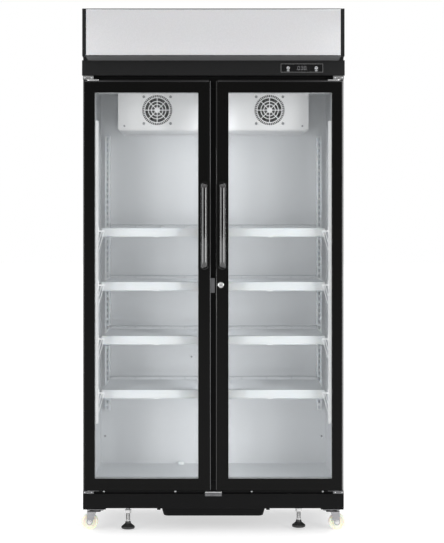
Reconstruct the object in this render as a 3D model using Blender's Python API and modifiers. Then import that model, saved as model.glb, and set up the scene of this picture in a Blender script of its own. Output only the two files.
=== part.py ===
"""Upright two-door glass merchandiser with a lit canopy and a top-mounted cooling unit.

The origin is on the floor below the middle of the bounding box.  +Z is up, the doors face -Y,
and +X is to the right of a person who faces the doors.  All lengths are in metres.
"""
import math

import bmesh
import bpy
from mathutils import Matrix, Vector

# ---- driving dimensions -------------------------------------------------------------------
WIDTH = 1.000                   # cabinet body, outside
BODY_FRONT = -0.200             # front face of the body, where the door gaskets seal
BODY_BACK = 0.350
SHELL_BOTTOM = 0.125
ROOF = 1.760                    # top of the insulated box, the deck of the cooling unit
SIDE_TOP = 1.960                # top edge of the side panels beside the cooling unit
SHEET = 0.001                   # outer steel
FLANGE = 0.002                  # folded front flange
LINER_SHEET = 0.001             # inner steel

INSIDE_HALF = 0.467             # inner half width of the liner
FLOOR = 0.187
CEILING = 1.715
INSIDE_BACK = 0.300
OPENING_HALF = 0.464            # opening in the front flange
OPENING_LOW = 0.198
OPENING_HIGH = 1.700

DOOR_FRONT = -0.250
DOOR_THICK = 0.042
DOOR_OUTER = 0.4959             # outer edge of a door, from the middle
DOOR_INNER = 0.0105             # inner edge of a door: half the gap between the doors
DOOR_LOW = 0.1654
DOOR_HIGH = 1.7298
STILE_OUTER = 0.0445
STILE_INNER = 0.047
RAIL_TOP = 0.0488
RAIL_BOTTOM = 0.0461
GLASS_THICK = 0.014
GLASS_GRIP = 0.008              # how far the glass unit reaches into the frame
GASKET_INSET = 0.016
GASKET_WIDTH = 0.014

PIVOT_INSET = 0.015             # hinge axis, in from the door's outer edge
PIVOT_Y = DOOR_FRONT + 0.020
PIN_RADIUS = 0.005

HANDLE_X = 0.0343
HANDLE_LOW = 1.0095
HANDLE_HIGH = 1.3411
HANDLE_PROUD = 0.038
HANDLE_RADIUS = 0.009
HANDLE_WIDTH = 0.026

LOCK_X = 0.0284
LOCK_Z = 0.949
LOCK_RADIUS = 0.0095
CAM_Y = -0.229                  # middle of the cam's plane, inside the stile
CAM_THICK = 0.003
CAM_LENGTH = 0.030

CANOPY_FRONT = -0.350
CANOPY_BACK = -0.2003
CANOPY_HALF = 0.4909
CANOPY_TOP = 1.9874
CANOPY_CAP = 0.0139             # thickness of the canopy's end caps
CANOPY_SHEET = 0.003
CANOPY_LIP = 1.8100             # underside at the front
FASCIA_TOP = 1.8042
FASCIA_LOW = 1.7470
FASCIA_WALL = 0.003

DISPLAY_X = (0.2559, 0.4179)
DISPLAY_Z = (1.7573, 1.7916)
BUTTON_X = (0.2845, 0.3912)
BUTTON_RADIUS = 0.007

SHELF_FRONT = -0.144
SHELF_BACK = 0.272
SHELF_X = (0.008, 0.432)
SHELF_LOWEST = 0.5391           # top of the lowest shelf
SHELF_PITCH = 0.2088
SHELF_LEVELS = 4
SHELF_THICK = 0.006
PRICE_RAIL = 0.037
SHELF_SLOTS = 12

EVAPORATOR_HALF = 0.3745
EVAPORATOR_LOW = 1.5526
EVAPORATOR_FRONT = -0.050
FAN_X = 0.221
FAN_Z = 1.629
FAN_HOLE = 0.0565
COIL_FINS = 8
CONDENSER_FINS = 13

PLINTH_FRONT = -0.212
PLINTH_LOW = 0.0922
PLINTH_HIGH = 0.1478
RAIL_INNER = 0.413              # inner side of the two side rails of the base
RAIL_LOW = 0.085
CROSS_LOW = 0.093

CASTER_X = 0.454
CASTER_FRONT_Y = -0.155
CASTER_BACK_Y = 0.290
CASTER_TRAIL = 0.023
WHEEL_RADIUS = 0.03175
WHEEL_WIDTH = 0.024

FOOT_X = 0.330
FOOT_Y = -0.150
FOOT_RADIUS = 0.026
FOOT_GAPS = {"left": 0.003, "right": 0.009}     # each pad stands this far clear of the floor

PAN_TOP_HALF = 0.2005
PAN_BOTTOM_HALF = 0.1909
PAN_Y = (-0.180, 0.120)
PAN_LOW = 0.0551
PAN_HIGH = 0.0855
PAN_LIP = 0.212

GAP = 0.0003                    # clearance between neighbouring pieces
SIDES = {"left": -1, "right": 1}


# ---- collections and materials ------------------------------------------------------------
def new_collection(name):
    collection = bpy.data.collections.new(name)
    bpy.context.scene.collection.children.link(collection)
    return collection


def finish(name, colour, roughness, metallic=0.0, transmission=0.0):
    """A plain Principled BSDF material."""
    material = bpy.data.materials.new(name)
    material.use_nodes = True
    shader = material.node_tree.nodes["Principled BSDF"]
    shader.inputs["Base Color"].default_value = (*colour, 1.0)
    shader.inputs["Roughness"].default_value = roughness
    shader.inputs["Metallic"].default_value = metallic
    shader.inputs["Transmission Weight"].default_value = transmission
    material.diffuse_color = (*colour, 1.0)
    return material


def clear_scene():
    for thing in list(bpy.data.objects):
        bpy.data.objects.remove(thing, do_unlink=True)


clear_scene()
PARTS = new_collection("glass_door_merchandiser")
TOOLS = new_collection("cutters")


# ---- modelling helpers --------------------------------------------------------------------
def add(name, mesh, material=None, location=(0, 0, 0), rotation=(0, 0, 0)):
    """Link a mesh as an object in the parts collection."""
    thing = bpy.data.objects.new(name, mesh)
    thing.location = location
    thing.rotation_euler = rotation
    if material is not None:
        thing.data.materials.append(material)
    PARTS.objects.link(thing)
    return thing


def box(name, low, high, material=None, bevel=0.0, segments=2):
    """A box from its lowest to its highest corner, with its origin in the middle."""
    size = [b - a for a, b in zip(low, high)]
    middle = [(a + b) / 2 for a, b in zip(low, high)]
    mesh = bpy.data.meshes.new(name)
    shape = bmesh.new()
    bmesh.ops.create_cube(shape, size=1.0, matrix=Matrix.Diagonal((*size, 1.0)))
    shape.to_mesh(mesh)
    shape.free()
    thing = add(name, mesh, material, middle)
    if bevel:
        edges = thing.modifiers.new("rounded_edges", "BEVEL")
        edges.width = bevel
        edges.segments = segments
        edges.limit_method = "ANGLE"
    return thing


def open_box(name, low, high, open_sides, wall, material, outward=False):
    """A sheet-metal box without the faces that point along open_sides."""
    thing = box(name, low, high, material)
    shape = bmesh.new()
    shape.from_mesh(thing.data)
    missing = [face for face in shape.faces
               if any(face.normal.dot(Vector(side)) > 0.9 for side in open_sides)]
    bmesh.ops.delete(shape, geom=missing, context="FACES")
    shape.to_mesh(thing.data)
    shape.free()
    walls = thing.modifiers.new("sheet", "SOLIDIFY")
    walls.thickness = wall
    walls.offset = 1.0 if outward else -1.0
    walls.use_even_offset = True
    return thing


AXIS_TURNS = {"Z": (0, 0, 0), "X": (0, math.pi / 2, 0), "Y": (math.pi / 2, 0, 0)}


def rod(name, radius, length, centre, axis="Z", material=None, sides=24):
    """A cylinder along one axis."""
    mesh = bpy.data.meshes.new(name)
    shape = bmesh.new()
    bmesh.ops.create_cone(shape, cap_ends=True, segments=sides, radius1=radius,
                          radius2=radius, depth=length)
    shape.to_mesh(mesh)
    shape.free()
    mesh.shade_smooth()
    mesh.set_sharp_from_angle(angle=math.radians(40))
    return add(name, mesh, material, centre, AXIS_TURNS[axis])


def turned(name, profile, centre, axis="Z", material=None, steps=24, ring=False):
    """A solid of revolution.  The profile holds (radius, height) from top to bottom."""
    mesh = bpy.data.meshes.new(name)
    points = [(radius, 0.0, height) for radius, height in profile]
    edges = [(i, i + 1) for i in range(len(points) - 1)]
    if ring:
        edges.append((len(points) - 1, 0))
    mesh.from_pydata(points, edges, [])
    thing = add(name, mesh, material, centre, AXIS_TURNS[axis])
    screw = thing.modifiers.new("turned", "SCREW")
    screw.steps = steps
    screw.render_steps = steps
    screw.use_merge_vertices = True
    screw.merge_threshold = 0.00005
    screw.use_smooth_shade = True
    return thing


def plate(name, outline, thickness, matrix, material=None):
    """A flat plate: a closed 2D outline with a thickness, made a mesh and placed by a matrix."""
    curve = bpy.data.curves.new(name + "_outline", "CURVE")
    curve.dimensions = "2D"
    curve.fill_mode = "BOTH"
    curve.extrude = thickness / 2
    spline = curve.splines.new("POLY")
    spline.points.add(len(outline) - 1)
    for point, (x, y) in zip(spline.points, outline):
        point.co = (x, y, 0.0, 1.0)
    spline.use_cyclic_u = True
    return curve_to_mesh(name, curve, matrix, material)


def curve_to_mesh(name, curve, matrix, material):
    """Turn a curve into a mesh object with welded caps."""
    guide = bpy.data.objects.new(name + "_guide", curve)
    PARTS.objects.link(guide)
    guide.matrix_world = matrix
    bpy.context.view_layer.update()
    evaluated = guide.evaluated_get(bpy.context.evaluated_depsgraph_get())
    mesh = bpy.data.meshes.new_from_object(evaluated)
    mesh.name = name
    shape = bmesh.new()
    shape.from_mesh(mesh)
    bmesh.ops.remove_doubles(shape, verts=shape.verts, dist=0.00002)
    shape.to_mesh(mesh)
    shape.free()
    thing = bpy.data.objects.new(name, mesh)
    if material is not None:
        mesh.materials.clear()
        mesh.materials.append(material)
    PARTS.objects.link(thing)
    thing.matrix_world = guide.matrix_world.copy()
    bpy.data.objects.remove(guide, do_unlink=True)
    return thing


def combine(thing, other, operation):
    """Apply a second object to the first with an exact Boolean, and keep it as a cutter."""
    PARTS.objects.unlink(other)
    TOOLS.objects.link(other)
    other.hide_render = True
    other.display_type = "WIRE"
    step = thing.modifiers.new(operation.lower() + "_" + other.name, "BOOLEAN")
    step.operation = operation
    step.solver = "EXACT"
    step.object = other
    return thing


def cut(thing, *cutters):
    for cutter in cutters:
        combine(thing, cutter, "DIFFERENCE")
    return thing


def fuse(thing, *others):
    for other in others:
        combine(thing, other, "UNION")
    return thing


def pivot(name, location, children):
    """An empty on a joint's axis that carries the pieces which turn or slide about it."""
    empty = bpy.data.objects.new(name, None)
    empty.location = location
    empty.empty_display_size = 0.05
    PARTS.objects.link(empty)
    for child in children:
        child.parent = empty
        child.matrix_parent_inverse = Matrix.Translation(location).inverted()
    return empty


def arc(centre, radius, start, end, steps):
    """Points on an arc, both ends included, with the angles in degrees."""
    turns = [math.radians(start + (end - start) * i / steps) for i in range(steps + 1)]
    return [(centre[0] + radius * math.cos(a), centre[1] + radius * math.sin(a)) for a in turns]


# ---- materials ----------------------------------------------------------------------------
BLACK_PAINT = finish("black_paint", (0.012, 0.012, 0.013), 0.35)
WHITE_PAINT = finish("white_paint", (0.78, 0.80, 0.81), 0.4)
WHITE_COVER = finish("white_cover", (0.72, 0.73, 0.74), 0.45)
GREY_STEEL = finish("grey_steel", (0.62, 0.63, 0.64), 0.35, 1.0)
BRIGHT_STEEL = finish("bright_steel", (0.80, 0.80, 0.80), 0.22, 1.0)
GLOSS_BLACK = finish("gloss_black", (0.010, 0.010, 0.011), 0.15)
SOFT_BLACK = finish("soft_black", (0.02, 0.02, 0.021), 0.7)
CLEAR_GLASS = finish("clear_glass", (0.93, 0.95, 0.96), 0.03, 0.0, 1.0)
SIGN_WHITE = finish("sign_white", (0.74, 0.74, 0.75), 0.3)
LAMP_WHITE = finish("lamp_white", (0.92, 0.93, 0.95), 0.3)
NYLON = finish("nylon", (0.83, 0.80, 0.68), 0.4)
FIN_ALUMINIUM = finish("fin_aluminium", (0.70, 0.71, 0.72), 0.4, 1.0)
FAN_BLACK = finish("fan_black", (0.03, 0.03, 0.032), 0.5)


# ---- cabinet body -------------------------------------------------------------------------
def build_shell():
    """Outer steel: an open box, its folded front flange and the panels beside the unit."""
    half = WIDTH / 2
    shell = open_box("outer_shell", (-half, BODY_FRONT, SHELL_BOTTOM), (half, BODY_BACK, ROOF),
                     [(0, -1, 0)], SHEET, BLACK_PAINT)
    flange = box("flange", (-half, BODY_FRONT, SHELL_BOTTOM),
                 (half, BODY_FRONT + FLANGE, ROOF))
    opening = box("flange_opening", (-OPENING_HALF, BODY_FRONT - 0.01, OPENING_LOW),
                  (OPENING_HALF, BODY_FRONT + 0.01, OPENING_HIGH))
    cut(flange, opening)
    fuse(shell, flange)
    for side, sign in SIDES.items():
        outer = sign * half
        inner = sign * (half - SHEET)
        panel = box("unit_panel_" + side, (min(outer, inner), BODY_FRONT, ROOF - 0.01),
                    (max(outer, inner), BODY_BACK, SIDE_TOP))
        fuse(shell, panel)
    return shell


def build_liner():
    """White inner box with a shelf standard formed up the middle of its back."""
    liner = open_box("liner", (-INSIDE_HALF, BODY_FRONT + FLANGE + GAP, FLOOR),
                     (INSIDE_HALF, INSIDE_BACK, CEILING), [(0, -1, 0)], LINER_SHEET,
                     WHITE_PAINT, outward=True)
    standard = box("rear_standard", (-0.015, INSIDE_BACK - 0.012, 0.410),
                   (0.015, INSIDE_BACK + LINER_SHEET / 2, EVAPORATOR_LOW - 0.010))
    return fuse(liner, standard)


def build_mullion():
    """Fixed post between the doors; both gaskets close on it.  Its lamp is on the back."""
    half = 0.048
    back = BODY_FRONT + 0.035
    front = BODY_FRONT + FLANGE + GAP
    post = open_box("mullion", (-half, front, FLOOR + GAP), (half, back, CEILING - GAP),
                    [(0, 0, 1), (0, 0, -1)], 0.0015, BLACK_PAINT)
    face = box("mullion_face", (-half, BODY_FRONT, OPENING_LOW + GAP),
               (half, front + 0.0005, OPENING_HIGH - GAP))
    fuse(post, face)
    box("mullion_light", (-0.014, back + GAP, 0.260), (0.014, back + 0.014, 1.640), LAMP_WHITE,
        bevel=0.004)


def build_pilasters():
    """Four folded channels that carry the shelf clips, with their open side to the wall."""
    sheet = 0.002
    for side, sign in SIDES.items():
        places = {
            "front": ((0.445, -0.162), (INSIDE_HALF - GAP, -0.138), 1.580),
            "rear": ((0.428, 0.276), (0.449, INSIDE_BACK - GAP), EVAPORATOR_LOW - 0.008)}
        for place, (low, high, top) in places.items():
            xs = sorted((sign * low[0], sign * high[0]))
            standard = box("pilaster_%s_%s" % (place, side), (xs[0], low[1], 0.410),
                           (xs[1], high[1], top), GREY_STEEL)
            if place == "front":
                inside = sorted((sign * (low[0] + sheet), sign * (high[0] + 0.01)))
                hollow = box("hollow_%s_%s" % (place, side), (inside[0], low[1] + sheet, 0.40),
                             (inside[1], high[1] - sheet, top + 0.01))
            else:
                hollow = box("hollow_%s_%s" % (place, side),
                             (xs[0] + sheet, low[1] + sheet, 0.40),
                             (xs[1] - sheet, high[1] + 0.01, top + 0.01))
            cut(standard, hollow)


def build_shelves():
    """Four levels of two shelves.  Bars run front to back, and a price rail hangs in front."""
    width = SHELF_X[1] - SHELF_X[0]
    bar = 0.006
    slot = (width - bar) / SHELF_SLOTS - bar
    for side, sign in SIDES.items():
        xs = sorted((sign * SHELF_X[0], sign * SHELF_X[1]))
        for level in range(SHELF_LEVELS):
            name = "shelf_%s_%d" % (side, level + 1)
            top = SHELF_LOWEST + level * SHELF_PITCH
            shelf = box(name, (xs[0], SHELF_FRONT, top - SHELF_THICK),
                        (xs[1], SHELF_BACK, top), GREY_STEEL)
            slots = slot_cutter(name + "_slots", xs[0] + bar, slot, bar,
                                (SHELF_FRONT + 0.010, SHELF_BACK - 0.010), top)
            cut(shelf, slots)
            rail = box(name + "_price_rail", (xs[0], SHELF_FRONT - 0.0035, top - PRICE_RAIL),
                       (xs[1], SHELF_FRONT + 0.0005, top))
            fuse(shelf, rail)


def slot_cutter(name, start, slot, bar, ys, top):
    """One row of boxes that cuts the gaps between a shelf's bars."""
    mesh = bpy.data.meshes.new(name)
    shape = bmesh.new()
    size = Matrix.Diagonal((slot, ys[1] - ys[0], SHELF_THICK + 0.01, 1.0))
    for index in range(SHELF_SLOTS):
        middle = (start + slot / 2 + index * (slot + bar), (ys[0] + ys[1]) / 2,
                  top - SHELF_THICK / 2)
        bmesh.ops.create_cube(shape, size=1.0, matrix=Matrix.Translation(middle) @ size)
    shape.to_mesh(mesh)
    shape.free()
    return add(name, mesh)


# ---- base ---------------------------------------------------------------------------------
def build_plinth():
    half = 0.4997
    open_box("plinth", (-half, PLINTH_FRONT, PLINTH_LOW), (half, BODY_FRONT - GAP, PLINTH_HIGH),
             [(0, 1, 0)], 0.002, BLACK_PAINT)


def build_base_frame():
    """Two side channels, two cross channels, the pan's runners and the caster plates."""
    top = SHELL_BOTTOM - GAP
    half = WIDTH / 2
    back = BODY_BACK - 0.005
    wall = 0.003
    frame = box("base_frame", (-half, BODY_FRONT, RAIL_LOW), (-RAIL_INNER, back, top), BLACK_PAINT)
    right = box("right_channel", (RAIL_INNER, BODY_FRONT, RAIL_LOW), (half, back, top))
    fuse(frame, right)
    crosses = {"front": (FOOT_Y - 0.030, FOOT_Y + 0.030), "rear": (back - 0.060, back)}
    for place, ys in crosses.items():
        cross = box("cross_" + place, (-RAIL_INNER - 0.001, ys[0], CROSS_LOW),
                    (RAIL_INNER + 0.001, ys[1], top))
        fuse(frame, cross)
    for sign in SIDES.values():
        xs = sorted((sign * (half - wall), sign * (RAIL_INNER + wall)))
        hollow = box("channel_hollow", (xs[0], BODY_FRONT + wall, RAIL_LOW + wall),
                     (xs[1], back - wall, top + 0.01))
        cut(frame, hollow)
    for place, ys in crosses.items():
        hollow = box("cross_hollow_" + place, (-RAIL_INNER + wall, ys[0] + wall, CROSS_LOW + wall),
                     (RAIL_INNER - wall, ys[1] - wall, top + 0.01))
        cut(frame, hollow)
    for sign in SIDES.values():
        fuse(frame, *pan_runner(sign, crosses))
        for y in (CASTER_FRONT_Y, CASTER_BACK_Y):
            mount = box("caster_plate", (sign * CASTER_X - 0.032, y - 0.038, RAIL_LOW - 0.003),
                        (sign * CASTER_X + 0.032, y + 0.038, RAIL_LOW + 0.001))
            fuse(frame, mount)
        boss = rod("foot_boss", 0.014, top - CROSS_LOW - 0.004,
                   (sign * FOOT_X, FOOT_Y, (top - 0.004 + CROSS_LOW) / 2))
        fuse(frame, boss)
        bore = rod("foot_bore", 0.0084, 0.060, (sign * FOOT_X, FOOT_Y, 0.110))
        cut(frame, bore)


def pan_runner(sign, crosses):
    """An angle on each side that the pan's lip slides on, hung from the cross channels."""
    ys = (PAN_Y[0] + 0.002, crosses["rear"][0] + 0.010)
    web_x = sorted((sign * 0.214, sign * 0.217))
    leg_x = sorted((sign * 0.204, sign * 0.217))
    web = box("runner_web", (web_x[0], ys[0], 0.080), (web_x[1], ys[1], CROSS_LOW + 0.001))
    leg = box("runner_leg", (leg_x[0], ys[0], 0.080), (leg_x[1], ys[1], 0.0825))
    return web, leg


def build_drain_pan():
    """Tapered tray with a rim lip that rests on the runners."""
    height = PAN_HIGH - PAN_LOW
    wall = 0.002

    def tray(name, shrink, low, high):
        solid = box(name, (-PAN_TOP_HALF + shrink, PAN_Y[0] + shrink, low),
                    (PAN_TOP_HALF - shrink, PAN_Y[1] - shrink, high))
        taper = (PAN_TOP_HALF - PAN_BOTTOM_HALF) * (high - low) / height
        for vertex in solid.data.vertices:
            if vertex.co.z < 0:
                vertex.co.x -= math.copysign(taper, vertex.co.x)
                vertex.co.y -= math.copysign(taper, vertex.co.y)
        return solid

    pan = tray("drain_pan", 0.0, PAN_LOW, PAN_HIGH)
    pan.data.materials.append(BLACK_PAINT)
    lip = box("pan_lip", (-PAN_LIP, PAN_Y[0] - 0.0005, PAN_HIGH - wall),
              (PAN_LIP, PAN_Y[1] + 0.0005, PAN_HIGH + 0.0005))
    fuse(pan, lip)
    hollow = tray("pan_hollow", wall, PAN_LOW + wall, PAN_HIGH + 0.004)
    cut(pan, hollow)
    pivot("drain_pan_slide", (0, PAN_Y[0], PAN_LOW), [pan])


def build_caster(name, x, y, trail):
    """Swivel fork and wheel.  trail is the unit vector from the swivel axis to the wheel."""
    out = Vector((trail[0], trail[1], 0))
    across = Vector((-trail[1], trail[0], 0))
    wheel_at = Vector((x, y, WHEEL_RADIUS)) + out * CASTER_TRAIL
    leg_gap = WHEEL_WIDTH / 2 + 0.0015
    leg_thick = 0.0025
    head_top = RAIL_LOW - 0.003 - GAP
    bridge_low = 2 * WHEEL_RADIUS + 0.004
    fork = rod(name + "_fork", 0.020, 0.008, (x, y, head_top - 0.004), "Z", BRIGHT_STEEL)
    bridge_x = (-0.019, CASTER_TRAIL + 0.009)
    reach = leg_gap + leg_thick
    frame = Matrix.Translation((x, y, 0)) @ Matrix(
        ((out.x, across.x, 0, 0), (out.y, across.y, 0, 0), (0, 0, 1, 0), (0, 0, 0, 1)))
    bridge = box(name + "_bridge", (bridge_x[0], -reach, bridge_low),
                 (bridge_x[1], reach, head_top - 0.006))
    bridge.matrix_world = frame @ Matrix.Translation(bridge.location)
    fuse(fork, bridge)
    outline = [(bridge_x[0], bridge_low + 0.003), (bridge_x[0] + 0.008, 0.052)]
    outline += arc((CASTER_TRAIL, WHEEL_RADIUS), 0.0095, 200, 345, 6)
    outline += [(bridge_x[1], bridge_low + 0.003)]
    upright = Matrix.Rotation(math.pi / 2, 4, "X")
    for index, sign in enumerate((-1, 1)):
        offset = Matrix.Translation((0, sign * (leg_gap + leg_thick / 2), 0))
        leg = plate(name + "_leg_%d" % index, outline, leg_thick, frame @ offset @ upright)
        fuse(fork, leg)
    axis = "Y" if abs(trail[0]) > 0.5 else "X"
    axle = rod(name + "_axle", 0.004, 2 * reach + 0.008, wheel_at, axis, sides=16)
    fuse(fork, axle)
    half = WHEEL_WIDTH / 2
    radius = WHEEL_RADIUS
    wheel = turned(name + "_wheel",
                   [(0.0048, half), (0.011, half), (0.013, half - 0.004),
                    (radius - 0.006, half - 0.002), (radius, half - 0.006),
                    (radius, 0.006 - half), (radius - 0.006, 0.002 - half),
                    (0.013, 0.004 - half), (0.011, -half), (0.0048, -half)],
                   wheel_at, axis, NYLON, steps=24, ring=True)
    spin = pivot(name + "_spin", wheel_at, [wheel])
    swivel = pivot(name + "_swivel", (x, y, RAIL_LOW), [fork])
    spin.parent = swivel
    spin.matrix_parent_inverse = Matrix.Translation((x, y, RAIL_LOW)).inverted()


def build_casters():
    for side, sign in SIDES.items():
        build_caster("caster_front_" + side, sign * CASTER_X, CASTER_FRONT_Y, (sign, 0))
        build_caster("caster_rear_" + side, sign * CASTER_X, CASTER_BACK_Y, (0, 1))


def build_feet():
    """Levelling feet: a moulded pad, a lock nut and a threaded stem turned in one profile."""
    for side, sign in SIDES.items():
        low = FOOT_GAPS[side]
        stem = 0.008
        profile = [(0, 0.102), (stem, 0.102), (stem, 0.074), (0.012, 0.073), (0.012, 0.060),
                   (stem, 0.059), (stem, 0.031), (0.0145, 0.030), (0.016, 0.022),
                   (FOOT_RADIUS, 0.009), (FOOT_RADIUS, 0.003), (0.022, 0.0), (0, 0.0)]
        foot = turned("foot_" + side, profile, (sign * FOOT_X, FOOT_Y, low), "Z", SOFT_BLACK)
        pivot("foot_%s_thread" % side, (sign * FOOT_X, FOOT_Y, low), [foot])


# ---- doors --------------------------------------------------------------------------------
def build_door(side, sign):
    def across(near, far):
        """Two distances from the middle as a rising pair on this door's side."""
        return sorted((sign * near, sign * far))

    name = "door_" + side
    back = DOOR_FRONT + DOOR_THICK
    outer = across(DOOR_INNER, DOOR_OUTER)
    sight = across(DOOR_INNER + STILE_INNER, DOOR_OUTER - STILE_OUTER)
    sight_z = (DOOR_LOW + RAIL_BOTTOM, DOOR_HIGH - RAIL_TOP)
    frame = box(name + "_frame", (outer[0], DOOR_FRONT, DOOR_LOW), (outer[1], back, DOOR_HIGH),
                BLACK_PAINT, bevel=0.005)
    window = box(name + "_window", (sight[0], DOOR_FRONT - 0.01, sight_z[0]),
                 (sight[1], back + 0.01, sight_z[1]))
    glass_y = (DOOR_FRONT + 0.009, DOOR_FRONT + 0.009 + GLASS_THICK)
    groove = box(name + "_groove",
                 (sight[0] - GLASS_GRIP, glass_y[0], sight_z[0] - GLASS_GRIP),
                 (sight[1] + GLASS_GRIP, glass_y[1], sight_z[1] + GLASS_GRIP))
    cut(frame, window, groove)
    hinge_x = sign * (DOOR_OUTER - PIVOT_INSET)
    for place, z in (("low", DOOR_LOW), ("high", DOOR_HIGH)):
        cut(frame, rod(name + "_hinge_bore_" + place, PIN_RADIUS + 0.0004, 0.044,
                       (hinge_x, PIVOT_Y, z)))
    inset = GLASS_GRIP - GAP
    glass = box(name + "_glass", (sight[0] - inset, glass_y[0] + GAP, sight_z[0] - inset),
                (sight[1] + inset, glass_y[1] - GAP, sight_z[1] + inset), CLEAR_GLASS)
    seal_y = (back + GAP, BODY_FRONT - GAP)
    far = (outer[0] + GASKET_INSET, outer[1] - GASKET_INSET)
    gasket = box(name + "_gasket", (far[0], seal_y[0], DOOR_LOW + GASKET_INSET),
                 (far[1], seal_y[1], DOOR_HIGH - GASKET_INSET), SOFT_BLACK)
    hole = box(name + "_gasket_hole",
               (far[0] + GASKET_WIDTH, seal_y[0] - 0.01, DOOR_LOW + GASKET_INSET + GASKET_WIDTH),
               (far[1] - GASKET_WIDTH, seal_y[1] + 0.01, DOOR_HIGH - GASKET_INSET - GASKET_WIDTH))
    cut(gasket, hole)
    handle = build_handle(name + "_handle", sign * HANDLE_X)
    catch = build_lock(frame) if side == "right" else build_strike()
    pieces = [frame, glass, gasket, handle, catch]
    pivot(name + "_hinge", (hinge_x, PIVOT_Y, DOOR_LOW), pieces)
    build_hinges(side, sign, hinge_x)


def build_handle(name, x):
    """Oval bow handle, swept along one bent path in the plane of the door's depth."""
    curve = bpy.data.curves.new(name, "CURVE")
    curve.dimensions = "3D"
    curve.bevel_depth = HANDLE_RADIUS
    curve.bevel_resolution = 3
    curve.use_fill_caps = True
    bend = 0.020
    face = DOOR_FRONT - GAP
    proud = DOOR_FRONT - HANDLE_PROUD + HANDLE_RADIUS
    low = HANDLE_LOW + HANDLE_RADIUS
    high = HANDLE_HIGH - HANDLE_RADIUS
    path = [(face, low)]
    path += [(y, z) for y, z in arc((proud + bend, low + bend), bend, 270, 180, 6)]
    path += [(y, z) for y, z in arc((proud + bend, high - bend), bend, 180, 90, 6)]
    path += [(face, high)]
    spline = curve.splines.new("POLY")
    spline.points.add(len(path) - 1)
    for point, (y, z) in zip(spline.points, path):
        point.co = (0.0, y, z, 1.0)
    widen = Matrix.Diagonal((HANDLE_WIDTH / (2 * HANDLE_RADIUS), 1.0, 1.0, 1.0))
    thing = curve_to_mesh(name, curve, Matrix.Identity(4), GLOSS_BLACK)
    thing.data.transform(widen)
    thing.data.shade_smooth()
    thing.data.set_sharp_from_angle(angle=math.radians(50))
    thing.location = (x, 0, 0)
    return thing


def build_lock(frame):
    """Key plug and cam in the right door's inner stile.  At rest the cam hangs, unlocked."""
    pocket_y = (CAM_Y - CAM_THICK, CAM_Y + CAM_THICK)
    pocket = box("lock_pocket", (0.0, pocket_y[0], LOCK_Z - 0.038),
                 (LOCK_X + 0.011, pocket_y[1], LOCK_Z + 0.012))
    barrel = rod("lock_bore", LOCK_RADIUS + 0.0004, 0.040,
                 (LOCK_X, CAM_Y - 0.0200, LOCK_Z), "Y", sides=32)
    cut(frame, pocket, barrel)
    front = DOOR_FRONT - 0.002
    plug = rod("lock_plug", LOCK_RADIUS, CAM_Y - front, (LOCK_X, (CAM_Y + front) / 2, LOCK_Z),
               "Y", BRIGHT_STEEL, sides=32)
    cam = box("lock_cam", (LOCK_X - 0.005, CAM_Y - CAM_THICK / 2, LOCK_Z - CAM_LENGTH),
              (LOCK_X + 0.005, CAM_Y + CAM_THICK / 2, LOCK_Z + 0.006))
    fuse(plug, cam)
    return pivot("lock_turn", (LOCK_X, CAM_Y, LOCK_Z), [plug])


def build_strike():
    """Keeper on the left door's edge, with a slot that the cam swings into."""
    strike = box("lock_strike", (-DOOR_INNER + GAP, CAM_Y - 0.007, LOCK_Z - 0.030),
                 (0.0052, CAM_Y + 0.007, LOCK_Z + 0.025), GREY_STEEL)
    slot = box("strike_slot", (-0.0035, CAM_Y - 0.0025, LOCK_Z - 0.0265),
               (0.02, CAM_Y + 0.0025, LOCK_Z + 0.021))
    return cut(strike, slot)


def build_hinges(side, sign, hinge_x):
    """Hinge blocks on the body above and below the door, each with its pin."""
    ys = (PIVOT_Y - 0.015, BODY_FRONT - GAP)
    xs = sorted((sign * 0.4565, sign * 0.4970))
    blocks = {"top": (DOOR_HIGH + 0.0017, DOOR_HIGH + 0.0157, -1),
              "bottom": (DOOR_LOW - 0.0115, DOOR_LOW - 0.0017, 1)}
    for place, (low, high, direction) in blocks.items():
        block = box("hinge_%s_%s" % (place, side), (xs[0], ys[0], low), (xs[1], ys[1], high),
                    BRIGHT_STEEL)
        start = low if direction < 0 else high
        pin = rod("pin_%s_%s" % (place, side), PIN_RADIUS, 0.024,
                  (hinge_x, PIVOT_Y, start + direction * 0.008))
        fuse(block, pin)


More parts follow.
